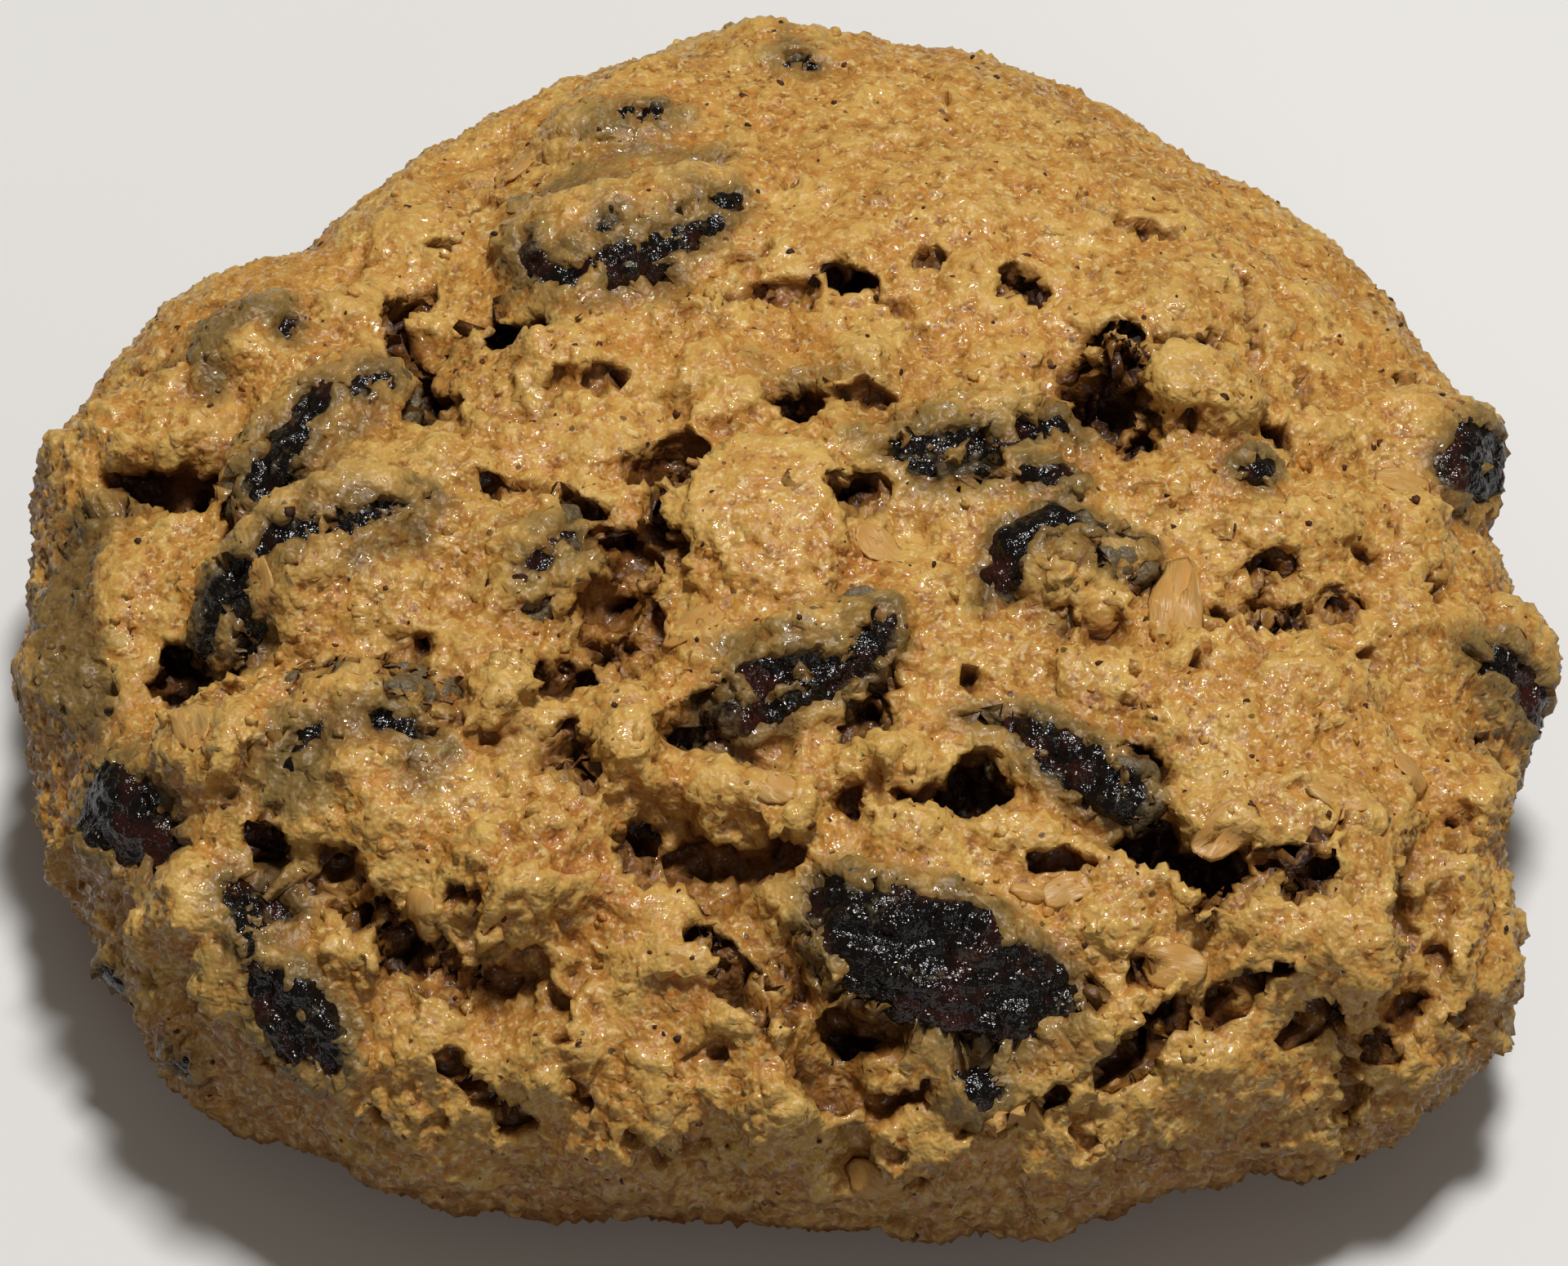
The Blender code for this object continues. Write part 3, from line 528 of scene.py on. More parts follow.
def bmesh_object(name, bm):
    mesh = bpy.data.meshes.new(name)
    bm.to_mesh(mesh)
    bm.free()
    made = bpy.data.objects.new(name, mesh)
    bpy.context.scene.collection.objects.link(made)
    return made


def take_modifiers(obj):
    """Replaces an object's mesh by what its modifiers make of it."""
    graph = bpy.context.evaluated_depsgraph_get()
    mesh = bpy.data.meshes.new_from_object(obj.evaluated_get(graph))
    old = obj.data
    obj.modifiers.clear()
    obj.data = mesh
    bpy.data.meshes.remove(old)
    mesh.name = obj.name
    return mesh


def drop(*objects):
    for obj in objects:
        mesh = obj.data
        bpy.data.objects.remove(obj)
        bpy.data.meshes.remove(mesh)


def remesh(obj, voxel, smooth=0.0, rounds=0):
    """One skin round everything in an object, with even faces of the voxel's size."""
    step = obj.modifiers.new("one_skin", "REMESH")
    step.mode = "VOXEL"
    step.voxel_size = voxel
    step.use_smooth_shade = True
    if rounds:
        soft = obj.modifiers.new("soften", "SMOOTH")
        soft.factor = smooth
        soft.iterations = rounds
    return take_modifiers(obj)


def points_of(mesh, layer="co"):
    flat = np.empty(len(mesh.vertices) * 3, np.float32)
    mesh.vertices.foreach_get(layer, flat)
    return flat.reshape(-1, 3).astype(float)


def set_points(mesh, points):
    mesh.vertices.foreach_set("co", points.astype(np.float32).ravel())
    mesh.update()


def set_attribute(mesh, name, values):
    attribute = mesh.attributes.get(name) or mesh.attributes.new(name, "FLOAT", "POINT")
    attribute.data.foreach_set("value", np.asarray(values, np.float32))


def tree_of(mesh):
    bm = bmesh.new()
    bm.from_mesh(mesh)
    found = BVHTree.FromBMesh(bm)
    bm.free()
    return found


def step_between(values, low, high):
    share = np.clip((values - low) / (high - low), 0, 1)
    return share * share * (3 - 2 * share)


def noise_of(points, size, offset=0.0):
    """Noise from -1 to 1 at each point, with features of about the size in mm."""
    scaled = points / (size * MM) + offset
    return np.array([noise.noise(p) for p in scaled.tolist()])


def vector_noise_of(points, size, offset=0.0):
    scaled = points / (size * MM) + offset
    return np.array([noise.noise_vector(p) for p in scaled.tolist()])


def cells_of(points, size, offset=0.0):
    """Distances to the nearest and the next nearest of scattered points about a size in mm apart, in that size."""
    scaled = points / (size * MM) + offset
    return np.array([noise.voronoi(p)[0][:2] for p in scaled.tolist()])


def roof_tree():
    """A search tree of every CAD solid's skin, which gives the places below a height."""
    bm = bmesh.new()
    for name in (DOUGH, *RAISINS):
        bm.from_mesh(frame["nodes"][name].data)
    found = BVHTree.FromBMesh(bm)
    bm.free()
    return found


ROOF = roof_tree()


def placed(path):
    """The points of a path in mm, those given in plan dropped on to the top of the cookie."""
    found = []
    for point in path:
        if len(point) == 3:
            found.append(point)
            continue
        start = Vector((*point, 50)) * MM
        hit = ROOF.ray_cast(start, (0, 0, -1))[0]
        if hit is None:
            hit = ROOF.find_nearest(Vector((*point, 10)) * MM)[0]
        found.append(tuple(hit / MM))
    return found


def streak_distance(points, path, normals=None):
    """Distance in mm from each point to a path in mm. With normals, how far a point lies above or below the path
    hardly counts."""
    best = np.full(len(points), np.inf)
    mm = points / MM
    for start, end in zip(path, path[1:] or path):
        a = np.array(start, float)
        run = np.array(end, float) - a
        share = np.clip(((mm - a) @ run) / max(run @ run, 1e-9), 0, 1)
        offset = mm - a - share[:, None] * run
        if normals is not None:
            above = (offset * normals).sum(1)
            offset = offset - (np.clip(above, -3, 3))[:, None] * normals
        best = np.minimum(best, np.linalg.norm(offset, axis=1))
    return best


def streaks(points, rows, ragged=0.0, soft=0.25, wider=0.0):
    """The strongest of some streaks at each point, from 0 to 1. Each row holds a strength, a half width and a path."""
    most = np.zeros(len(points))
    mm = points / MM
    for strength, half_width, *path in rows:
        path = placed(path)
        reach = half_width + wider + soft + 1.5
        near = np.nonzero(((mm > np.min(path, 0) - reach) & (mm < np.max(path, 0) + reach)).all(1))[0]
        if not len(near):
            continue
        away = streak_distance(points[near], path) - wider
        if np.ndim(ragged):
            away += ragged[near]
        here = strength * (1 - step_between(away, half_width - soft, half_width + soft))
        most[near] = np.maximum(most[near], here)
    return most


def bareness(points, ragged=0.0, soft=0.25, wider=0.0):
    """How bare of dough the skin under each point is, from 0 to 1, with edges as ragged as the values given."""
    return streaks(points, [(1.0, *row[1:]) for row in BARE], ragged, soft, wider)


def chunk(name, faces_level, flat, boxy, rough, seed):
    """A crumb of baked dough to scatter, about 2 across: a ball squared off, flattened and roughened."""
    bm = bmesh.new()
    bmesh.ops.create_icosphere(bm, subdivisions=faces_level, radius=1.0)
    for vert in bm.verts:
        way = vert.co.normalized()
        squared = way / (sum(abs(c) ** boxy for c in way) ** (1 / boxy))
        bump = rough * noise.noise(way * 1.7 + Vector((seed, 0, 0))) + 0.5 * rough * noise.noise(way * 4.1 + Vector((0, seed, 0)))
        vert.co = squared * (1 + bump)
        vert.co.z *= flat
    made = bmesh_object(name, bm)
    made.data.polygons.foreach_set("use_smooth", [True] * len(made.data.polygons))
    return made


def scatter(name, bed, templates, per_cm2, size, squash, tilt, sink, seed, mask="mask"):
    """Scatters copies of the templates over a bed's faces, lying along them and sunk by a share of their radius."""
    tree = bpy.data.node_groups.new(name, "GeometryNodeTree")
    tree.interface.new_socket("Geometry", in_out="INPUT", socket_type="NodeSocketGeometry")
    tree.interface.new_socket("Geometry", in_out="OUTPUT", socket_type="NodeSocketGeometry")
    ground = add(tree, "NodeGroupInput")
    thick = add(tree, "GeometryNodeInputNamedAttribute", {"Name": mask}, data_type="FLOAT")
    spread = add(
        tree, "GeometryNodeDistributePointsOnFaces",
        {"Mesh": ground, "Density": per_cm2 * 1e4, "Seed": seed}, distribute_method="RANDOM",
    )
    keep = add(tree, "FunctionNodeRandomValue", {8: seed + 1}, data_type="FLOAT")
    chance = add(tree, "ShaderNodeMath", {0: keep.outputs[1], 1: thick}, operation="LESS_THAN")
    kinds = add(tree, "GeometryNodeJoinGeometry")
    for template in templates:
        shape = add(tree, "GeometryNodeObjectInfo", {"Object": template, "As Instance": True})
        tree.links.new(shape.outputs["Geometry"], kinds.inputs[0])
    pick = add(tree, "FunctionNodeRandomValue", {4: 0, 5: len(templates) - 1, 8: seed + 2}, data_type="INT")
    lean = add(
        tree, "FunctionNodeRandomValue", {0: (-tilt, -tilt, -math.pi), 1: (tilt, tilt, math.pi), 8: seed + 3},
        data_type="FLOAT_VECTOR",
    )
    turn = add(
        tree, "FunctionNodeRotateRotation",
        {"Rotation": spread.outputs["Rotation"], "Rotate By": add(tree, "FunctionNodeEulerToRotation", {0: lean})},
        rotation_space="LOCAL",
    )
    odds = add(tree, "FunctionNodeRandomValue", {2: 0.0, 3: 1.0, 8: seed + 4}, data_type="FLOAT")
    curve = add(tree, "ShaderNodeMath", {0: odds.outputs[1], 1: 2.2}, operation="POWER")
    scale = add(
        tree, "ShaderNodeMapRange",
        {"Value": curve, "To Min": 0.5 * size[0], "To Max": 0.5 * size[1]},
    )
    stretch = add(
        tree, "FunctionNodeRandomValue", {0: (1 / squash, 1 / squash, 1 / squash), 1: (squash, squash, squash), 8: seed + 5},
        data_type="FLOAT_VECTOR",
    )
    sized = add(tree, "ShaderNodeVectorMath", {0: stretch, "Scale": scale}, operation="SCALE")
    placed = add(
        tree, "GeometryNodeInstanceOnPoints",
        {"Points": spread.outputs["Points"], "Selection": chance, "Instance": kinds, "Pick Instance": True,
         "Instance Index": pick.outputs[2], "Rotation": turn, "Scale": sized},
    )
    down = add(tree, "ShaderNodeCombineXYZ", {"Z": -sink})
    lowered = add(
        tree, "GeometryNodeTranslateInstances", {"Instances": placed, "Translation": down, "Local Space": True}
    )
    real = add(tree, "GeometryNodeRealizeInstances", {"Geometry": lowered})
    add(tree, "NodeGroupOutput", {"Geometry": real})
    made = bpy.data.objects.new(name, bed.data.copy())
    bpy.context.scene.collection.objects.link(made)
    made.modifiers.new("scatter", "NODES").node_group = tree
    take_modifiers(made)
    made.data.materials.clear()
    bpy.data.node_groups.remove(tree)
    return made


def smoothed(points, edges, rounds):
    """Each point moved to the middle of its neighbours, a number of times."""
    count = np.bincount(edges.ravel(), minlength=len(points)).astype(float)[:, None]
    for _ in range(rounds):
        total = np.zeros_like(points)
        for axis in range(3):
            total[:, axis] = np.bincount(edges[:, 0], points[edges[:, 1], axis], len(points))
            total[:, axis] += np.bincount(edges[:, 1], points[edges[:, 0], axis], len(points))
        points = total / np.maximum(count, 1)
    return points


def edges_of(mesh):
    flat = np.empty(len(mesh.edges) * 2, np.int32)
    mesh.edges.foreach_get("vertices", flat)
    return flat.reshape(-1, 2)


def open_sky(mesh, rays, reach):
    """The share of the hemisphere above each vertex that nothing nearby covers."""
    points = points_of(mesh)
    normals = points_of(mesh, "normal")
    tree = tree_of(mesh)
    turn = math.pi * (3 - math.sqrt(5))
    ways = []
    for k in range(rays):
        up = math.sqrt((k + 0.5) / rays)
        side = math.sqrt(1 - up * up)
        ways.append((side * math.cos(k * turn), side * math.sin(k * turn), up))
    ways = np.array(ways)
    helper = np.where(np.abs(normals[:, :1]) < 0.8, [[1.0, 0, 0]], [[0, 1.0, 0]])
    tangent = np.cross(normals, helper)
    tangent /= np.maximum(np.linalg.norm(tangent, axis=1), 1e-6)[:, None]
    other = np.cross(normals, tangent)
    starts = points + normals * 0.05 * MM
    free = np.zeros(len(points))
    for x, y, z in ways:
        directions = tangent * x + other * y + normals * z
        for k, (start, way) in enumerate(zip(starts.tolist(), directions.tolist())):
            if tree.ray_cast(start, way, reach)[0] is None:
                free[k] += 1
    return free / rays


# --- raisins ---------------------------------------------------------------------------------


def wrinkle(mesh, depth, seed):
    """Folds the skin lengthwise into rounded ridges, and puckers it into lumps of 1.6, 0.8 and 0.45 mm."""
    points = points_of(mesh)
    middle = points.mean(0)
    _, _, axes = np.linalg.svd(points - middle, full_matrices=False)
    bent = points + vector_noise_of(points, 4.0, seed) * 0.9 * MM
    local = ((bent - middle) @ axes.T) * np.array([0.4, 1.0, 1.0])
    folds = np.abs(noise_of(local, 1.9, seed)) ** 0.75
    warped = points + vector_noise_of(points, 1.2, seed + 3) * 0.4 * MM
    lumps = np.abs(noise_of(warped, 1.6, seed + 5)) + 0.5 * np.abs(noise_of(warped, 0.8, seed + 7))
    height = 0.95 * folds + 0.8 * lumps + 0.2 * noise_of(warped, 0.45, seed + 9)
    height -= np.median(height)
    set_attribute(mesh, "crease", step_between(-height, -0.1, 0.4))
    set_points(mesh, points + points_of(mesh, "normal") * (height * depth)[:, None])


def skin_material(looks):
    """Dried grape skin: thin and waxy over dark jam-like flesh, so it is nearly black with small wet glints on its
    lumps, wine brown where it is thin, and dull grey where flour and dough still cling to it."""
    material = bpy.data.materials.new("dried_grape_skin")
    material.use_nodes = True
    tree = material.node_tree
    tree.nodes.clear()
    where = add(tree, "ShaderNodeTexCoord").outputs["Object"]
    # Patches of thinner skin, some 3 mm across.
    patches = add(tree, "ShaderNodeTexNoise", {"Vector": where, "Scale": 330, "Detail": 3, "Roughness": 0.55})
    thin = add(tree, "ShaderNodeMapRange", {"Value": patches, "From Min": 0.50, "From Max": 0.68})
    colour = add(
        tree, "ShaderNodeMix", {0: thin, 6: linear(looks.skin_hex), 7: linear(looks.thin_hex)}, data_type="RGBA"
    )
    # Dusty bloom and dough film: grains 0.4 mm across in patches of 2 mm, thickest where dough is near.
    film = add(tree, "ShaderNodeAttribute", attribute_name="film").outputs["Fac"]
    crease = add(tree, "ShaderNodeAttribute", attribute_name="crease").outputs["Fac"]
    grains = add(tree, "ShaderNodeTexNoise", {"Vector": where, "Scale": 2400, "Detail": 3, "Roughness": 0.7})
    broad = add(tree, "ShaderNodeTexNoise", {"Vector": where, "Scale": 600, "Detail": 3, "Roughness": 0.7})
    held = add(tree, "ShaderNodeMath", {0: crease, 1: -0.12, 2: film}, operation="MULTIPLY_ADD")
    held = add(tree, "ShaderNodeMath", {0: grains, 1: 0.9, 2: held}, operation="MULTIPLY_ADD")
    held = add(tree, "ShaderNodeMath", {0: broad, 1: 1.0, 2: held}, operation="MULTIPLY_ADD")
    dust = add(
        tree, "ShaderNodeMapRange", {"Value": held, "From Min": 1.12, "From Max": 1.62, "To Max": looks.dust}
    )
    colour = add(
        tree, "ShaderNodeMix", {0: dust, 6: colour.outputs[2], 7: linear(looks.dust_hex)}, data_type="RGBA"
    )
    rough = add(tree, "ShaderNodeMapRange", {"Value": dust, "To Min": 0.17, "To Max": 0.6})
    # Skin puckers finer than the modelled lumps, 0.3 mm apart.
    pucker = add(tree, "ShaderNodeTexNoise", {"Vector": where, "Scale": 2200, "Detail": 2, "Roughness": 0.6})
    bump = add(tree, "ShaderNodeBump", {"Height": pucker, "Strength": 0.8, "Distance": 0.3 * MM})
    lit = add(
        tree, "ShaderNodeBsdfPrincipled",
        {"Base Color": colour.outputs[2], "Roughness": rough, "Normal": bump, "IOR": 1.47},
    )
    add(tree, "ShaderNodeOutputMaterial", {"Surface": lit})
    return material


# --- crust -----------------------------------------------------------------------------------


def crust_material(looks):
    """Oat and flour dough baked to a moist crumb: gold with paler flour and oat grains, orange brown where it browned,
    greyed beside the raisins, with tiny wet glints and specks of bran, and painted light: painted shade, brown in the
    hollows and dark in the cracks, painted highlight on raised ridges, and partly painted shade on the wall."""
    material = bpy.data.materials.new("baked_oat_dough")
    material.use_nodes = True
    tree = material.node_tree
    tree.nodes.clear()
    where = add(tree, "ShaderNodeTexCoord").outputs["Object"]

    def layer(under, factor, code):
        mixed = add(tree, "ShaderNodeMix", {0: factor, 6: under, 7: linear(code)}, data_type="RGBA")
        return mixed.outputs[2]

    def share(value, low, high, most=1.0, least=0.0):
        return add(
            tree, "ShaderNodeMapRange",
            {"Value": value, "From Min": low, "From Max": high, "To Min": least, "To Max": most},
        )

    def mottle(millimetres, detail=3.0, roughness=0.6, **more):
        inputs = {"Vector": where, "Scale": 1 / (millimetres * MM), "Detail": detail, "Roughness": roughness}
        return add(tree, "ShaderNodeTexNoise", inputs, **more)

    def baked_in(name):
        return add(tree, "ShaderNodeAttribute", attribute_name=name).outputs["Fac"]

    sky = baked_in("sky")
    # Browning in patches 9 mm across, and where listed as browned most, with ragged edges.
    middling = mottle(1.6, 4, 0.65)
    colour = layer(linear(looks.gold_hex), share(mottle(9), 0.46, 0.64, 0.5), looks.tan_hex)
    toasted = add(tree, "ShaderNodeMath", {0: middling, 1: baked_in("toast")}, operation="ADD")
    colour = layer(colour, share(toasted, 0.8, 1.4, 0.8), looks.toast_hex)
    # Clods of 3.2 mm that stayed pale.
    colour = layer(colour, share(mottle(3.2), 0.50, 0.66, 0.7), looks.pale_and_highlight_hex)
    colour = layer(colour, share(middling, 0.44, 0.34, 0.5), looks.tan_hex)
    # Grains of crumb, 0.8 mm and 0.35 mm.
    grit = mottle(0.8, 3, 0.75)
    colour = layer(colour, share(grit, 0.53, 0.64, 0.65), looks.pale_and_highlight_hex)
    colour = layer(colour, share(grit, 0.46, 0.33, 0.75), looks.brown_and_shade_hex)
    colour = layer(colour, share(mottle(0.35, 1, 0.6), 0.57, 0.68, 0.6), looks.flour_hex)
    # Painted highlight: raised ridges are painted paler. Painted shade: hollows that see little open sky are painted
    # browner, and darkest deep in the cracks.
    colour = layer(colour, share(baked_in("ridge"), 0.5, 0.95, 0.6), looks.pale_and_highlight_hex)
    colour = layer(colour, share(sky, 0.78, 0.36, 0.8), looks.brown_and_shade_hex)
    colour = layer(colour, share(sky, 0.45, 0.14, 0.97), looks.crack_shade_hex)
    # Painted darker on the wall and foot: partly browning on the tray, partly painted shade on the walls that face
    # sideways.
    colour = layer(colour, share(baked_in("bake"), 0.0, 1.0, 0.85), looks.bake_and_shade_hex)
    # Greyed by the raisins.
    greyed = add(tree, "ShaderNodeMath", {0: middling, 1: baked_in("stain")}, operation="ADD")
    colour = layer(colour, share(greyed, 0.74, 1.25, 0.78), looks.stain_hex)
    # Bran and cinnamon specks, 0.15 to 0.4 mm, about 2 mm apart.
    specks = add(tree, "ShaderNodeTexVoronoi", {"Vector": where, "Scale": 800, "Randomness": 1.0})
    picked = add(tree, "ShaderNodeSeparateColor", {"Color": specks.outputs["Color"]})
    radius = share(picked.outputs["Red"], 0.6, 1.0, 0.16)
    inside = add(tree, "ShaderNodeMath", {0: specks.outputs["Distance"], 1: radius}, operation="LESS_THAN")
    faint = add(tree, "ShaderNodeMath", {0: inside, 1: 0.75}, operation="MULTIPLY")
    colour = layer(colour, faint, looks.bran_hex)
    # Relief finer than the mesh: rounded grains from 0.9 mm down to 0.2 mm.
    bump = add(tree, "ShaderNodeBump", {"Height": mottle(0.9, 2, 0.62), "Strength": 0.72, "Distance": 0.5 * MM})
    # Wet sugar glints, 0.2 mm across, on a crumb that is otherwise dull.
    moist = share(mottle(0.4, 1, 0.5), 0.53, 0.61, 0.12, 0.50)
    # The baked wall and foot are dry, so they shine least.
    shine = share(baked_in("bake"), 0.0, 1.0, 0.1, 0.5)
    lit = add(
        tree, "ShaderNodeBsdfPrincipled",
        {"Base Color": colour, "Roughness": moist, "Normal": bump, "IOR": 1.5, "Specular IOR Level": shine},
    )
    add(tree, "ShaderNodeOutputMaterial", {"Surface": lit})
    return material


def swell_heights(points):
    """How far the dough stands out between its cracks, in mm: low rounded swells of three sizes, creased between."""
    warped = points + vector_noise_of(points, 2.6, 5) * 1.0 * MM
    heights = 1.7 * np.abs(noise_of(warped, 7.5, 2)) + 1.1 * np.abs(noise_of(warped, 3.4, 7))
    heights += 0.4 * np.abs(noise_of(warped, 1.6, 11))
    return heights - np.mean(heights)


def raised(points):
    """How far plates of dough rise at each point, in mm."""
    mm = (points + vector_noise_of(points, 1.8, 60) * 0.45 * MM) / MM
    rise = np.zeros(len(points))
    for height, place, half_x, half_y in PLATES:
        middle = np.array(placed([place])[0])
        near = np.nonzero((np.abs(mm - middle) < (half_x + 1, half_y + 1, 6)).all(1))[0]
        across = np.abs(mm[near] - middle)[:, :2] / (half_x, half_y)
        radius = (across ** 2.4).sum(1) ** (1 / 2.4)
        inside = (1 - radius) * min(half_x, half_y)
        plate = 1.15 * height * step_between(inside, -0.1, 0.7) * (1 - 0.35 * np.minimum(radius, 1) ** 2)
        rise[near] = np.maximum(rise[near], plate)
    return rise


def folded(points):
    """How deep the soft folds are at each point, in mm."""
    bent = points + vector_noise_of(points, 2.4, 66) * 1.2 * MM
    depths = np.zeros(len(points))
    for half_width, depth, *path in FOLDS:
        away = streak_distance(bent, placed(path), np.array((0, 0, 1.0)))
        depths = np.maximum(depths, depth * (1 - step_between(away, 0, half_width)))
    return depths


def cracked(points, normals, widest=99):
    """How deep cracks and pits are at each point, how far their sides slump, and where their edges are, in mm."""
    bent = points + (vector_noise_of(points, 1.3, 62) * 0.6 + vector_noise_of(points, 0.5, 64) * 0.3) * MM
    wobble = 0.9 + 0.4 * noise_of(points, 2.2, 68)
    mm = bent / MM
    dug = np.zeros(len(points))
    slump = np.zeros(len(points))
    edge = np.zeros(len(points))
    for half_width, depth, *path in CRACKS + PITS:
        if half_width > widest:
            continue
        path = placed(path)
        reach = half_width + 5
        near = np.nonzero(((mm > np.min(path, 0) - reach) & (mm < np.max(path, 0) + reach)).all(1))[0]
        if not len(near):
            continue
        away = streak_distance(bent[near], path, normals[near])
        wide = max(half_width, 0.45) * wobble[near]
        hole = depth * (1 - step_between(away, 0.3 * wide, wide))
        dug[near] = np.maximum(dug[near], hole)
        shoulder = min(depth, 2.2) * half_width ** 0.5 * np.exp(-np.maximum(away - wide, 0) / 1.5)
        slump[near] = np.maximum(slump[near], 0.25 * shoulder)
        edge[near] = np.maximum(edge[near], 1 - step_between(away, wide + 0.1, wide + 0.9))
    return dug, slump, edge


def calm(points):
    """How much of its relief each point keeps: the far side of the top rose smoothly and cracked little."""
    return 1 - 0.6 * step_between(points[:, 1], 0, 14 * MM)


def add_lump(bm, half_sizes, place, turn, seed):
    shape = chunk("lump", 4, 1.0, 2.8, 0.22, seed)
    spin = Matrix.Rotation(turn, 4, "Z") @ Matrix.Diagonal((*half_sizes, 1 / MM)) * MM
    shape.data.transform(Matrix.Translation(Vector(place) * MM) @ spin)
    bm.from_mesh(shape.data)
    drop(shape)


def seedbed(looks):
    """The dough and the film over the raisins as one skin, with its lumps and swells."""
    bm = node_bmesh(DOUGH)
    grow(bm, -looks.shrink)
    for name in RAISINS:
        piece = node_bmesh(name)
        bmesh.ops.subdivide_edges(piece, edges=piece.edges, cuts=1, use_grid_fill=True, smooth=0.6)
        grow(piece, looks.film)
        mesh = bpy.data.meshes.new("film")
        piece.to_mesh(mesh)
        piece.free()
        bm.from_mesh(mesh)
        bpy.data.meshes.remove(mesh)
    for seed, (*half_sizes, place, turn) in enumerate(LUMPS):
        add_lump(bm, half_sizes, place, math.radians(turn), 5.1 * seed)
    bed = bmesh_object("baked_crust", bm)
    mesh = remesh(bed, looks.form_voxel, 0.5, 4)
    points = points_of(mesh)
    edges = edges_of(mesh)
    normals = soft_normals(mesh, 6)
    away = 1 - bareness(points, wider=0.9, soft=0.9)
    foot = step_between(points[:, 2], 0.3 * MM, 3.0 * MM)
    heights = swell_heights(points) * looks.swells / MM * (0.3 + 0.7 * away) * calm(points)
    heights += (raised(points) - folded(points)) * away - 0.1
    set_points(mesh, points + normals * (heights * foot * MM)[:, None])
    under = step_between(normals[:, 2], -0.8, -0.4)
    patchy = step_between(noise_of(points, 9, 40), -0.35, 0.25)
    set_attribute(mesh, "mask", away * foot * calm(points) ** 2 * patchy * under)
    plates = [chunk(f"plate_{k}", 3, 0.42, 3.2, 0.34, 3.1 * k) for k in range(4)]
    clods = [chunk(f"clod_{k}", 2, 0.6, 2.6, 0.4, 7.3 * k) for k in range(4)]
    layers = (
        scatter("big_clods", bed, plates, 0.35, (3.5 * MM, 6 * MM), 1.2, 0.12, 0.32, 11),
        scatter("small_clods", bed, clods, 2.2, (1.5 * MM, 3.2 * MM), 1.3, 0.25, 0.42, 23),
    )
    join_into(bed, *layers)
    drop(*layers, *plates, *clods)
    remesh(bed, looks.bed_voxel, 0.5, 4)
    return bed


def soft_normals(mesh, rounds):
    normals = smoothed(points_of(mesh, "normal"), edges_of(mesh), rounds)
    return normals / np.maximum(np.linalg.norm(normals, axis=1), 1e-6)[:, None]


def crack_open(bed, looks):
    """Opens the wide cracks in the soft forms, with crumbs broken loose along their rims."""
    mesh = bed.data
    points = points_of(mesh)
    normals = soft_normals(mesh, 8)
    away = 1 - bareness(points, wider=0.5, soft=0.6)
    foot = step_between(points[:, 2], 0.3 * MM, 3.0 * MM)
    dug, slump, edge = cracked(points, normals)
    lean = np.column_stack([0 * dug, 0.6 * step_between(normals[:, 2], 0.3, 0.8), 0 * dug])
    fall = (slump * away * foot)[:, None] * -normals
    fall += (0.62 * dug * (0.5 + 0.5 * away) * foot)[:, None] * (lean - 0.8 * normals)
    set_points(mesh, points + fall * MM)
    sky = open_sky(mesh, 5, 6 * MM)
    clear = 1 - step_between(dug, 0.05, 0.3)
    under = step_between(normals[:, 2], -0.8, -0.4)
    set_attribute(mesh, "edge", away * foot * under * clear * (0.06 + 0.94 * edge))
    set_attribute(mesh, "hollow", away * foot * under * clear * (1 - step_between(sky, 0.35, 0.6)))
    crumbs = [chunk(f"crumb_{k}", 2, 0.75, 2.2, 0.45, 5.7 * k) for k in range(3)]
    rims = scatter("crumb_rims", bed, crumbs, 95, (0.45 * MM, 1.2 * MM), 1.3, 0.6, 0.34, 37, "edge")
    fallen = scatter("fallen_crumbs", bed, crumbs, 25, (0.9 * MM, 1.9 * MM), 1.3, 0.6, 0.2, 41, "hollow")
    join_into(bed, rims, fallen)
    drop(rims, fallen, *crumbs)


def join_into(target, *others):
    bm = bmesh.new()
    bm.from_mesh(target.data)
    for other in others:
        bm.from_mesh(other.data)
    bm.to_mesh(target.data)
    bm.free()


def raisin_skins():
    """One search tree of all the raisins' skins."""
    bm = bmesh.new()
    for name in RAISINS:
        bm.from_mesh(bpy.data.objects[name + "_skin"].data)
    found = BVHTree.FromBMesh(bm)
    bm.free()
    return found


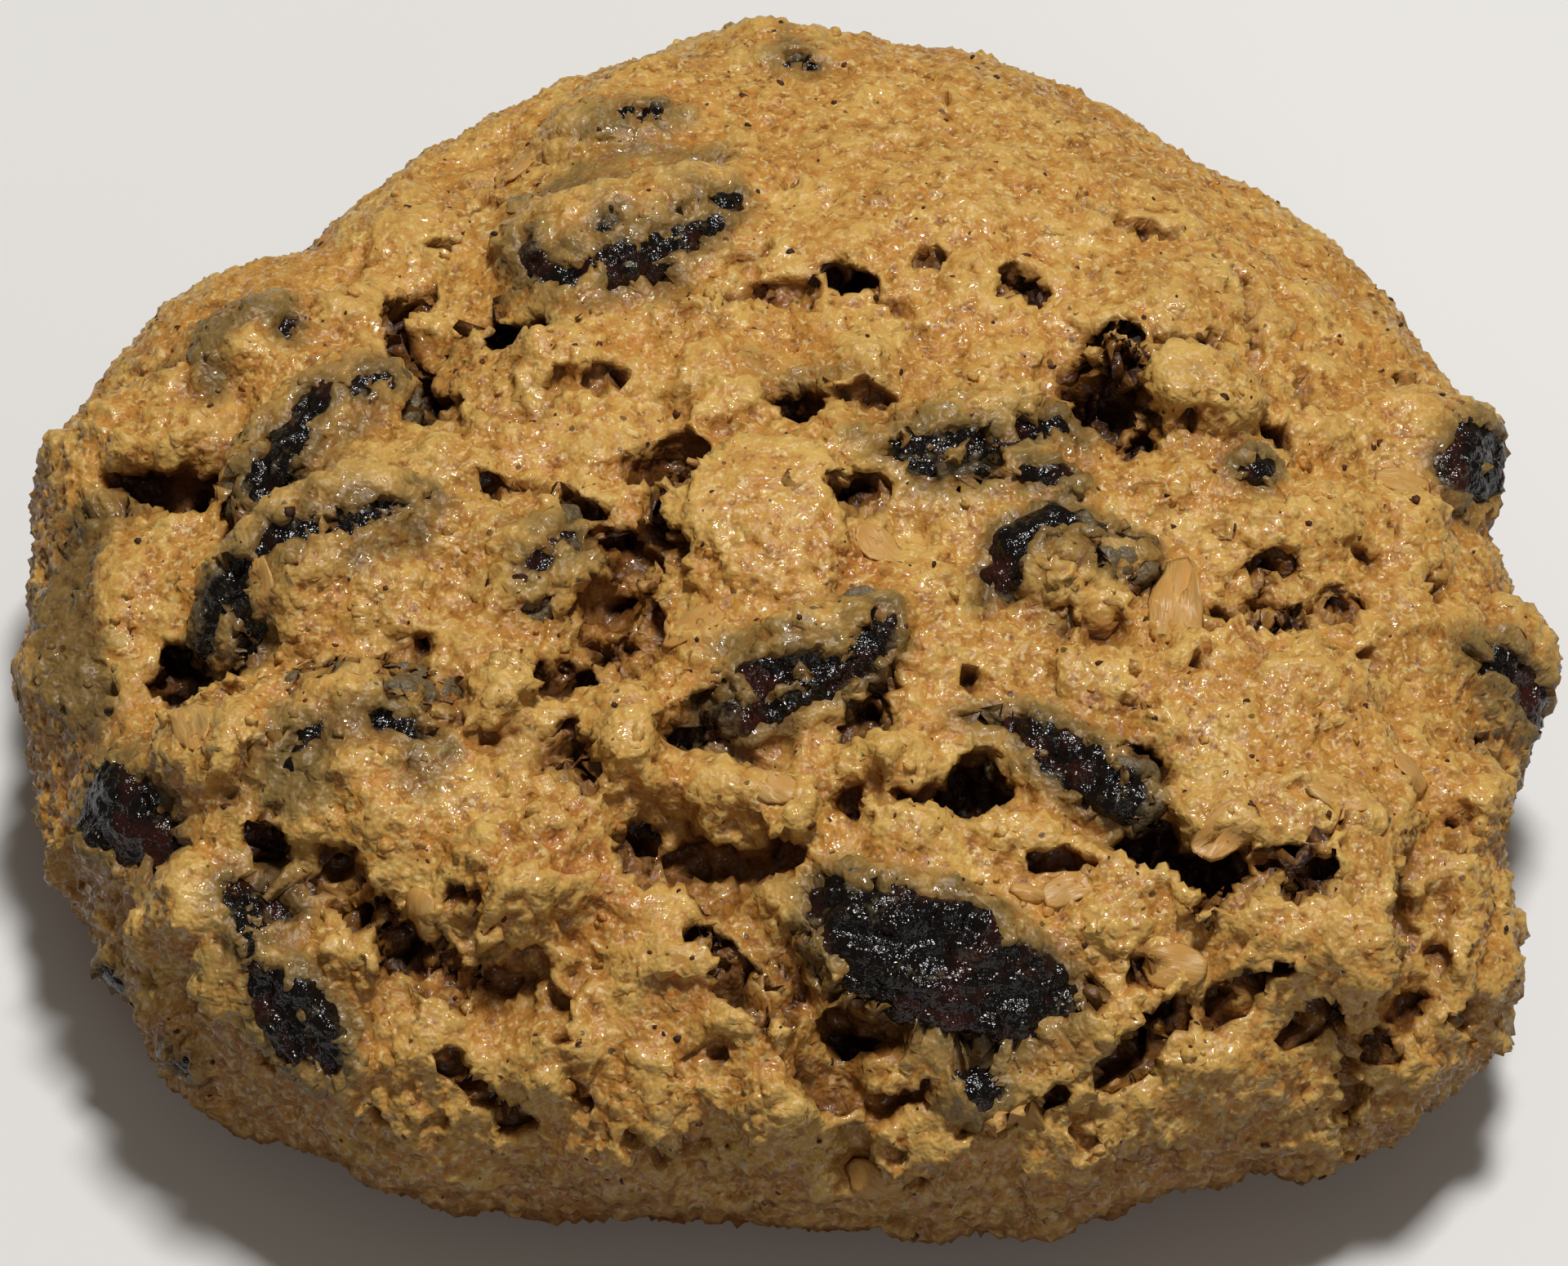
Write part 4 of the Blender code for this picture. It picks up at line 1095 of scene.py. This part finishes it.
def roughen(mesh, looks):
    """Thin cracks, jagged rims, and rounded grains of crumb with pores between them."""
    points = points_of(mesh)
    normals = soft_normals(mesh, 3)
    up = step_between(points[:, 2], 0.2 * MM, 1.5 * MM)
    away = 1 - bareness(points, wider=0.5, soft=0.6)
    dug, _, edge = cracked(points, normals, 0.6)
    jagged = vector_noise_of(points, 1.9, 5) + 0.6 * vector_noise_of(points, 0.8, 15)
    drift = jagged * (looks.ragged * (1 + 1.5 * edge))[:, None]
    grains = cells_of(points + drift, 1.0, 30)
    fine = cells_of(points + drift, 0.55, 34)
    patchy = 0.3 + 0.7 * step_between(noise_of(points, 5, 44), -0.3, 0.3)
    relief = patchy * step_between(grains[:, 1] - grains[:, 0], 0.0, 0.4)
    relief += 0.7 * step_between(fine[:, 1] - fine[:, 0], 0.0, 0.5) + 0.8 * noise_of(points, 0.45, 33) - 0.8
    relief *= (0.55 + 0.45 * calm(points)) * (1 + 0.5 * edge)
    pores = cells_of(points, 3.4, 50)[:, 0]
    pits = 1 - step_between(pores, 0.05, 0.2)
    height = relief * looks.relief - (pits * 0.5 + 1.0 * dug * away) * MM
    moved = points + (drift + normals * height[:, None]) * up[:, None]
    low = 1 - step_between(moved[:, 2], 0.25 * MM, 1.2 * MM)
    moved[:, 2] = np.maximum(moved[:, 2] - low * 0.25 * MM, 0)
    over = np.maximum(moved[:, 2] - HIGH[2] - 0.1 * MM, 0)
    moved[:, 2] -= 0.7 * over
    set_points(mesh, moved)


def bare_raisins(mesh, skins, looks):
    """Draws the crust in under the skin where a raisin is bare, keeps it whole elsewhere, and notes how thin it is."""
    points = points_of(mesh)
    ragged = 0.5 * noise_of(points, 1.3, 61) + 0.25 * noise_of(points, 0.5, 71)
    near = bareness(points, wider=1.2, soft=0.3) > 0
    bare = np.zeros(len(points))
    bare[near] = bareness(points[near], ragged[near], soft=0.2)
    moved = points.copy()
    cover = looks.cover * (1.2 + 1.6 * noise_of(points, 0.5, 75) + 1.2 * noise_of(points, 1.4, 77))
    thin = np.zeros(len(points))
    for k in range(len(points)):
        found, normal, _, away = skins.find_nearest(points[k], 2.6 * MM)
        if found is None:
            continue
        thin[k] = 1 - min(away / (1.4 * MM), 1)
        above = (Vector(points[k]) - found).dot(normal)
        wanted = max(above, cover[k])
        wanted += (-0.5 * MM - wanted) * bare[k]
        if wanted != above:
            moved[k] += np.array(normal) * (wanted - above)
    set_points(mesh, moved)
    wide = bareness(points, ragged, soft=1.6, wider=0.9)
    smeared = streaks(points, STAINS, ragged, soft=1.6)
    close = np.maximum(0.75 * wide, thin * (0.3 + 0.7 * wide))
    set_attribute(mesh, "stain", np.clip(np.maximum(close, smeared), 0, 1))
    set_attribute(mesh, "toast", streaks(points, TOAST, ragged, soft=1.3))


def fewer_faces(obj, most):
    """Thins the faces on the underside first, and then all over, to keep a number of triangles."""
    mesh = obj.data
    points = points_of(mesh)
    hidden = (points_of(mesh, "normal")[:, 2] < -0.7) | (points[:, 2] < 0.5 * MM)
    group = obj.vertex_groups.new(name="underside")
    group.add(np.nonzero(hidden)[0].tolist(), 1.0, "ADD")
    for ratio_of in (lambda count: 1 - 0.8 * hidden.mean(), lambda count: most / count):
        count = sum(len(p.vertices) - 2 for p in mesh.polygons)
        if count <= most:
            continue
        fewer = obj.modifiers.new("fewer_faces", "DECIMATE")
        fewer.ratio = ratio_of(count)
        if "underside" in obj.vertex_groups:
            fewer.vertex_group = "underside"
            fewer.vertex_group_factor = 1.0
        mesh = take_modifiers(obj)
        obj.vertex_groups.clear()
    return mesh


# --- loose bits ------------------------------------------------------------------------------


def oat_material(looks):
    """Rolled oats toasted in the dough: flat, pale cream with tan lines along the grain, and slightly waxy."""
    material = bpy.data.materials.new("rolled_oat")
    material.use_nodes = True
    tree = material.node_tree
    tree.nodes.clear()
    where = add(tree, "ShaderNodeTexCoord").outputs["Object"]
    along = add(tree, "ShaderNodeUVMap", uv_map="grain")
    # Bran lines 0.3 mm apart, along the flake.
    lines = add(
        tree, "ShaderNodeTexNoise", {"Vector": along, "Scale": 1 / (0.3 * MM), "Detail": 2, "Roughness": 0.6}
    )
    lined = add(tree, "ShaderNodeMapRange", {"Value": lines, "From Min": 0.45, "From Max": 0.68})
    colour = add(
        tree, "ShaderNodeMix", {0: lined, 6: linear(looks.oat_hex), 7: linear(looks.line_hex)}, data_type="RGBA"
    )
    patches = add(tree, "ShaderNodeTexNoise", {"Vector": where, "Scale": 900, "Detail": 3, "Roughness": 0.6})
    doughy = add(tree, "ShaderNodeMapRange", {"Value": patches, "From Min": 0.38, "From Max": 0.52})
    colour = add(
        tree, "ShaderNodeMix", {0: doughy, 6: colour.outputs[2], 7: linear(looks.dough_hex)}, data_type="RGBA"
    )
    bump = add(tree, "ShaderNodeBump", {"Height": lines, "Strength": 0.6, "Distance": 0.15 * MM})
    lit = add(
        tree, "ShaderNodeBsdfPrincipled",
        {"Base Color": colour.outputs[2], "Roughness": 0.42, "Normal": bump, "IOR": 1.47},
    )
    add(tree, "ShaderNodeOutputMaterial", {"Surface": lit})
    return material


def bran_material(looks):
    """Flecks of bran and cinnamon: dry, matt and dark brown, some nearly black and some red brown."""
    material = bpy.data.materials.new("wheat_bran")
    material.use_nodes = True
    tree = material.node_tree
    tree.nodes.clear()
    where = add(tree, "ShaderNodeTexCoord").outputs["Object"]
    # Neighbouring flecks, some 2 mm apart, differ in colour.
    patches = add(tree, "ShaderNodeTexNoise", {"Vector": where, "Scale": 500, "Detail": 2, "Roughness": 0.6})
    redder = add(tree, "ShaderNodeMapRange", {"Value": patches, "From Min": 0.4, "From Max": 0.6})
    colour = add(
        tree, "ShaderNodeMix", {0: redder, 6: linear(looks.bran_hex), 7: linear(looks.cinnamon_hex)},
        data_type="RGBA",
    )
    lit = add(
        tree, "ShaderNodeBsdfPrincipled", {"Base Color": colour.outputs[2], "Roughness": 0.7, "IOR": 1.45}
    )
    add(tree, "ShaderNodeOutputMaterial", {"Surface": lit})
    return material


def add_flake(bm, grain, crust, length, width, place, turn, seed):
    """One rolled oat that lies on the crust: a thin oval with a ragged edge, cupped, creased along its middle."""
    made = bmesh.ops.create_uvsphere(bm, u_segments=18, v_segments=6, radius=0.5)["verts"]
    for vert in made:
        x, y, z = vert.co * 2
        ragged = 1 + 0.22 * noise.noise(Vector((1.6 * x, 1.6 * y, seed)))
        cup = 0.12 * (x * x + y * y) - 0.04 * math.exp(-((y / 0.18) ** 2)) + 0.2 * noise.noise(Vector((x, y, seed + 9)))
        vert.co = Vector((0.5 * length * x * ragged, 0.5 * width * y * ragged, 0.2 * z + 0.5 * width * cup)) * MM
    for face in {face for vert in made for face in vert.link_faces}:
        for corner in face.loops:
            corner[grain].uv = (corner.vert.co.x * 0.15, corner.vert.co.y)
    point, normal, _, _ = crust.find_nearest(Vector(placed([place])[0]) * MM)
    normal = (normal + ROOF.find_nearest(point)[1] * 2).normalized()
    spin = normal.to_track_quat("Z", "Y").to_matrix() @ Matrix.Rotation(turn, 3, "Z")
    bmesh.ops.transform(bm, verts=made, matrix=Matrix.Translation(point) @ spin.to_4x4())
    for vert in made:
        hit = crust.ray_cast(vert.co + normal * 2 * MM, -normal, 4 * MM)[0]
        if hit is not None:
            vert.co += normal * (0.7 * (hit - point).dot(normal) - 0.08 * MM)


# --- settings --------------------------------------------------------------------------------


def size_property(name, description, default):
    return FloatProperty(name=name, description=description, default=default, subtype="DISTANCE", unit="LENGTH")


def hex_property(name, description, default):
    return bpy.props.StringProperty(name=name, description=description, default=default)


class COOKIE_PG_raisins(bpy.types.PropertyGroup):
    """Sizes and colours of the raisins."""

    fold_depth: size_property("Fold depth", "Depth of the wrinkles in the skin", 0.75 * MM)
    skin_hex: hex_property("Skin", "Colour of thick skin", "#0C0807")
    thin_hex: hex_property("Thin skin", "Colour of skin that light comes through", "#3A1710")
    dust_hex: hex_property("Dust", "Colour of the dough film on the skin", "#7A6847")
    dust: FloatProperty(name="Dust", description="Most that dust hides of the skin", default=0.8, min=0, max=1)


class COOKIE_PG_crust(bpy.types.PropertyGroup):
    """Sizes and colours of the crust."""

    form_voxel: size_property("Form face size", "Edge of the faces that the swells are raised in", 0.40 * MM)
    bed_voxel: size_property("Bed face size", "Edge of the faces that the cracks are opened in", 0.27 * MM)
    voxel: size_property("Face size", "Edge of the crust mesh's faces", 0.22 * MM)
    swells: size_property("Swells", "Height of the swells, per unit of their shape", 0.9 * MM)
    shrink: size_property("Room for swells", "How far the dough is drawn in before swells are added", 0.20 * MM)
    cover: size_property("Cover", "Least thickness of dough over a raisin that isn't bare", 0.22 * MM)
    film: size_property("Film", "Thickness of dough over a raisin", 0.50 * MM)
    ragged: size_property("Ragged edges", "How far edges wander", 0.16 * MM)
    relief: size_property("Relief", "Height of the grains of crumb", 0.25 * MM)
    most_faces: IntProperty(name="Most triangles", description="Triangles kept in the crust", default=197000)
    gold_hex: hex_property("Gold", "Colour of most of the crust", "#C88B3D")
    tan_hex: hex_property("Tan", "Colour of the more baked patches", "#A8742F")
    toast_hex: hex_property("Toast", "Colour where the crust browned most", "#B66C2A")
    # Pale grains, and also painted highlight on raised ridges.
    pale_and_highlight_hex: hex_property("Pale", "Colour of oat and flour grains", "#E0B763")
    flour_hex: hex_property("Flour", "Colour of the palest grains", "#F2D993")
    # Brown grains, and also painted shade in the hollows.
    brown_and_shade_hex: hex_property("Brown", "Colour in the hollows and on the wall", "#7E4814")
    # Browning on the tray, and partly painted shade on the side walls.
    bake_and_shade_hex: hex_property("Bake", "Colour of the wall and foot, that browned on the tray", "#6B3208")
    # Painted shade deep in the cracks.
    crack_shade_hex: hex_property("Crack", "Colour deep in the cracks", "#361604")
    stain_hex: hex_property("Stain", "Colour of thin dough over a raisin", "#5C4A29")
    bran_hex: hex_property("Bran", "Colour of the specks", "#4A2A12")


class COOKIE_PG_bits(bpy.types.PropertyGroup):
    """Sizes and colours of what lies loose on the crust."""

    crumbs: FloatProperty(name="Crumbs", description="Loose crumbs on a square centimetre", default=7, min=0)
    crumb_size: size_property("Crumb size", "Width of the largest loose crumb", 0.8 * MM)
    specks: FloatProperty(name="Specks", description="Bran specks on a square centimetre", default=9, min=0)
    speck_size: size_property("Speck size", "Length of the largest bran speck", 0.42 * MM)
    oat_hex: hex_property("Oat", "Colour of the oat flakes", "#CFA663")
    line_hex: hex_property("Oat lines", "Colour of the lines along a flake", "#BA8A44")
    dough_hex: hex_property("Dough on oats", "Colour of the dough that sticks to a flake", "#CC9850")
    bran_hex: hex_property("Bran", "Colour of dark specks", "#2C170B")
    cinnamon_hex: hex_property("Cinnamon", "Colour of red brown specks", "#5E2F14")


class COOKIE_PG_stage(bpy.types.PropertyGroup):
    """Lights, floor and camera."""

    key_power: FloatProperty(name="Key", description="Power of the light above", default=1.62, unit="POWER")
    fill_power: FloatProperty(name="Fill", description="Power of the light in front", default=0.19, unit="POWER")
    floor_hex: hex_property("Floor", "Colour of the floor", "#F4F3F1")


# --- operators -------------------------------------------------------------------------------


class COOKIE_OT_raisins(bpy.types.Operator):
    """Wrinkled skins in place of the raisin solids"""

    bl_idname = "cookie.raisins"
    bl_label = "Raisins"

    def execute(self, context):
        looks = context.scene.cookie_raisins
        material = skin_material(looks)
        for seed, name in enumerate(RAISINS):
            low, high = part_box(name)
            longest = max(high - low)
            bm = node_bmesh(name)
            bmesh.ops.subdivide_edges(bm, edges=bm.edges, cuts=1, use_grid_fill=True, smooth=1.0)
            bmesh.ops.smooth_vert(bm, verts=bm.verts, factor=0.4, use_axis_x=True, use_axis_y=True, use_axis_z=True)
            skin = bmesh_object(name + "_skin", bm)
            mesh = remesh(skin, (0.2 if longest > 6 * MM else 0.15) * MM, 0.5, 4)
            wrinkle(mesh, looks.fold_depth * min(1, longest / (9 * MM)), seed * 3.7)
            points = points_of(mesh)
            ragged = 0.5 * noise_of(points, 1.1, 81)
            upper = step_between(points_of(mesh, "normal")[:, 2], 0.2, 0.9) * (0.5 + noise_of(points, 3.6, 85))
            set_attribute(mesh, "film", 0.7 * (1 - bareness(points, ragged, soft=0.4, wider=0.2)) + 0.1 * upper)
            mesh.polygons.foreach_set("use_smooth", [True] * len(mesh.polygons))
            mesh.materials.clear()
            mesh.materials.append(material)
            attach(skin, "root")
            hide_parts(name)
        return {"FINISHED"}


class COOKIE_OT_crust(bpy.types.Operator):
    """Crumbly crust in place of the dough solid"""

    bl_idname = "cookie.crust"
    bl_label = "Crust"

    def execute(self, context):
        looks = context.scene.cookie_crust
        core = seedbed(looks)
        crack_open(core, looks)
        mesh = remesh(core, looks.voxel, 0.3, 1)
        roughen(mesh, looks)
        bare_raisins(mesh, raisin_skins(), looks)
        mesh = fewer_faces(core, looks.most_faces)
        points = points_of(mesh)
        normals = points_of(mesh, "normal")
        edges = edges_of(mesh)
        # Painted highlight: how far each point stands above the smoothed skin, which paints raised ridges paler.
        lift = ((points - smoothed(points, edges, 12)) * normals).sum(1)
        set_attribute(mesh, "ridge", step_between(lift, -0.25 * MM, 0.35 * MM))
        # Open sky above each point, which paints shade in the hollows and cracks and keeps loose crumbs out of them.
        sky = open_sky(mesh, 12, 6 * MM)
        set_attribute(mesh, "sky", smoothed(np.column_stack([sky] * 3), edges, 1)[:, 0])
        bald = 1 - bareness(points, wider=0.3, soft=0.5)
        off_floor = step_between(points[:, 2], 1 * MM, 4 * MM) * step_between(normals[:, 2], -0.4, 0.2)
        set_attribute(mesh, "open", bald * off_floor * step_between(sky, 0.35, 0.7))
        # Wall and foot: partly browning on the tray, partly painted shade on walls that face sideways, away from the
        # light above.
        wall = step_between(0.25 - normals[:, 2], 0, 0.6) * (1 - step_between(points[:, 2], 9 * MM, 17 * MM))
        foot = 1 - step_between(points[:, 2], 1 * MM, 7 * MM)
        set_attribute(mesh, "bake", np.clip(0.6 * wall + 0.8 * foot, 0, 1))
        mesh.polygons.foreach_set("use_smooth", [True] * len(mesh.polygons))
        mesh.materials.clear()
        mesh.materials.append(crust_material(looks))
        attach(core, "root")
        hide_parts(DOUGH)
        return {"FINISHED"}


class COOKIE_OT_flakes(bpy.types.Operator):
    """Oat flakes at the surface"""

    bl_idname = "cookie.flakes"
    bl_label = "Oat flakes"

    def execute(self, context):
        crust = tree_of(bpy.data.objects["baked_crust"].data)
        bm = bmesh.new()
        grain = bm.loops.layers.uv.new("grain")
        for seed, (length, width, place, turn) in enumerate(FLAKES):
            add_flake(bm, grain, crust, length, width, place, math.radians(turn), seed * 3.3)
        flakes = bmesh_object("oat_flakes", bm)
        flakes.data.shade_smooth()
        flakes.data.materials.append(oat_material(context.scene.cookie_bits))
        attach(flakes, "root")
        return {"FINISHED"}


class COOKIE_OT_crumbs(bpy.types.Operator):
    """Loose crumbs and bran specks"""

    bl_idname = "cookie.crumbs"
    bl_label = "Crumbs and bran"

    def execute(self, context):
        looks = context.scene.cookie_bits
        crust = bpy.data.objects["baked_crust"]
        shapes = [chunk(f"loose_{k}", 2, 0.7, 2.4, 0.5, 2.9 * k) for k in range(3)]
        chips = [chunk(f"chip_{k}", 1, 0.35, 2.0, 0.6, 4.3 * k) for k in range(3)]
        sizes = (0.3 * looks.crumb_size, looks.crumb_size)
        lengths = (0.25 * looks.speck_size, looks.speck_size)
        crumbs = scatter("loose_crumbs", crust, shapes, looks.crumbs, sizes, 1.3, 0.6, 0.15, 53, "open")
        specks = scatter("bran_specks", crust, chips, looks.specks, lengths, 1.7, 0.3, 0.0, 67, "open")
        drop(*shapes, *chips)
        for piece, material in (
            (crumbs, bpy.data.materials["baked_oat_dough"]), (specks, bran_material(looks))
        ):
            piece.data.materials.append(material)
            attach(piece, "root")
        return {"FINISHED"}


class COOKIE_OT_stage(bpy.types.Operator):
    """Pale floor, soft lights and the camera"""

    bl_idname = "cookie.stage"
    bl_label = "Stage"

    def execute(self, context):
        looks = context.scene.cookie_stage
        scene = context.scene
        bm = bmesh.new()
        bmesh.ops.create_grid(bm, x_segments=2, y_segments=2, size=1.5)
        floor = bmesh_object("floor", bm)
        floor.visible_diffuse = False
        material = bpy.data.materials.new("matt_paper")
        material.use_nodes = True
        tree = material.node_tree
        tree.nodes.clear()
        # Matt white paper: an even pale ground with no grain that the eye could pick out at this size.
        lit = add(
            tree, "ShaderNodeBsdfPrincipled",
            {"Base Color": linear(looks.floor_hex), "Roughness": 0.9, "Specular IOR Level": 0.1},
        )
        add(tree, "ShaderNodeOutputMaterial", {"Surface": lit})
        floor.data.materials.append(material)
        middle = Vector((0.4, -3.0, 9.0)) * MM
        for name, place, size, power in (
            ("key", (0.05, 0.06, 0.46), 0.08, looks.key_power),
            ("fill", (0.16, -0.44, 0.22), 0.20, looks.fill_power),
        ):
            light = bpy.data.lights.new(name, "AREA")
            light.size = size
            light.energy = power
            lamp = bpy.data.objects.new(name, light)
            scene.collection.objects.link(lamp)
            lamp.location = Vector(place)
            lamp.rotation_euler = (middle - lamp.location).to_track_quat("-Z", "Y").to_euler()
        world = bpy.data.worlds.new("soft_room")
        world.use_nodes = True
        world.node_tree.nodes["Background"].inputs[0].default_value = linear("#FFF1DC")
        world.node_tree.nodes["Background"].inputs[1].default_value = 0.11
        scene.world = world
        tilt = math.radians(50)
        camera = bpy.data.cameras.new("camera")
        camera.lens = 121.7
        camera.sensor_width = 36
        camera.clip_start = 0.01
        camera.clip_end = 10
        eye = bpy.data.objects.new("camera", camera)
        scene.collection.objects.link(eye)
        eye.location = middle + Vector((0, -math.cos(tilt), math.sin(tilt))) * 0.27
        eye.rotation_euler = (math.pi / 2 - tilt, 0, 0)
        scene.camera = eye
        scene.view_settings.view_transform = "Standard"
        return {"FINISHED"}


class COOKIE_PT_panel(bpy.types.Panel):
    """Lists the cookie's pieces"""

    bl_idname = "COOKIE_PT_panel"
    bl_label = "Oatmeal Raisin Cookie"
    bl_space_type = "VIEW_3D"
    bl_region_type = "UI"
    bl_category = "Cookie"

    def draw(self, context):
        for piece in PIECES:
            self.layout.operator(piece.bl_idname)


PIECES = (COOKIE_OT_raisins, COOKIE_OT_crust, COOKIE_OT_flakes, COOKIE_OT_crumbs, COOKIE_OT_stage)
GROUPS = (COOKIE_PG_raisins, COOKIE_PG_crust, COOKIE_PG_bits, COOKIE_PG_stage)


def register():
    for kind in (*GROUPS, *PIECES, COOKIE_PT_panel):
        bpy.utils.register_class(kind)
    bpy.types.Scene.cookie_raisins = PointerProperty(type=COOKIE_PG_raisins)
    bpy.types.Scene.cookie_crust = PointerProperty(type=COOKIE_PG_crust)
    bpy.types.Scene.cookie_bits = PointerProperty(type=COOKIE_PG_bits)
    bpy.types.Scene.cookie_stage = PointerProperty(type=COOKIE_PG_stage)


def unregister():
    for name in ("cookie_raisins", "cookie_crust", "cookie_bits", "cookie_stage"):
        delattr(bpy.types.Scene, name)
    for kind in reversed((*GROUPS, *PIECES, COOKIE_PT_panel)):
        bpy.utils.unregister_class(kind)


def main():
    register()
    bpy.ops.cookie.raisins()
    bpy.ops.cookie.crust()
    bpy.ops.cookie.flakes()
    bpy.ops.cookie.crumbs()
    bpy.ops.cookie.stage()


if __name__ == "__main__":
    main()
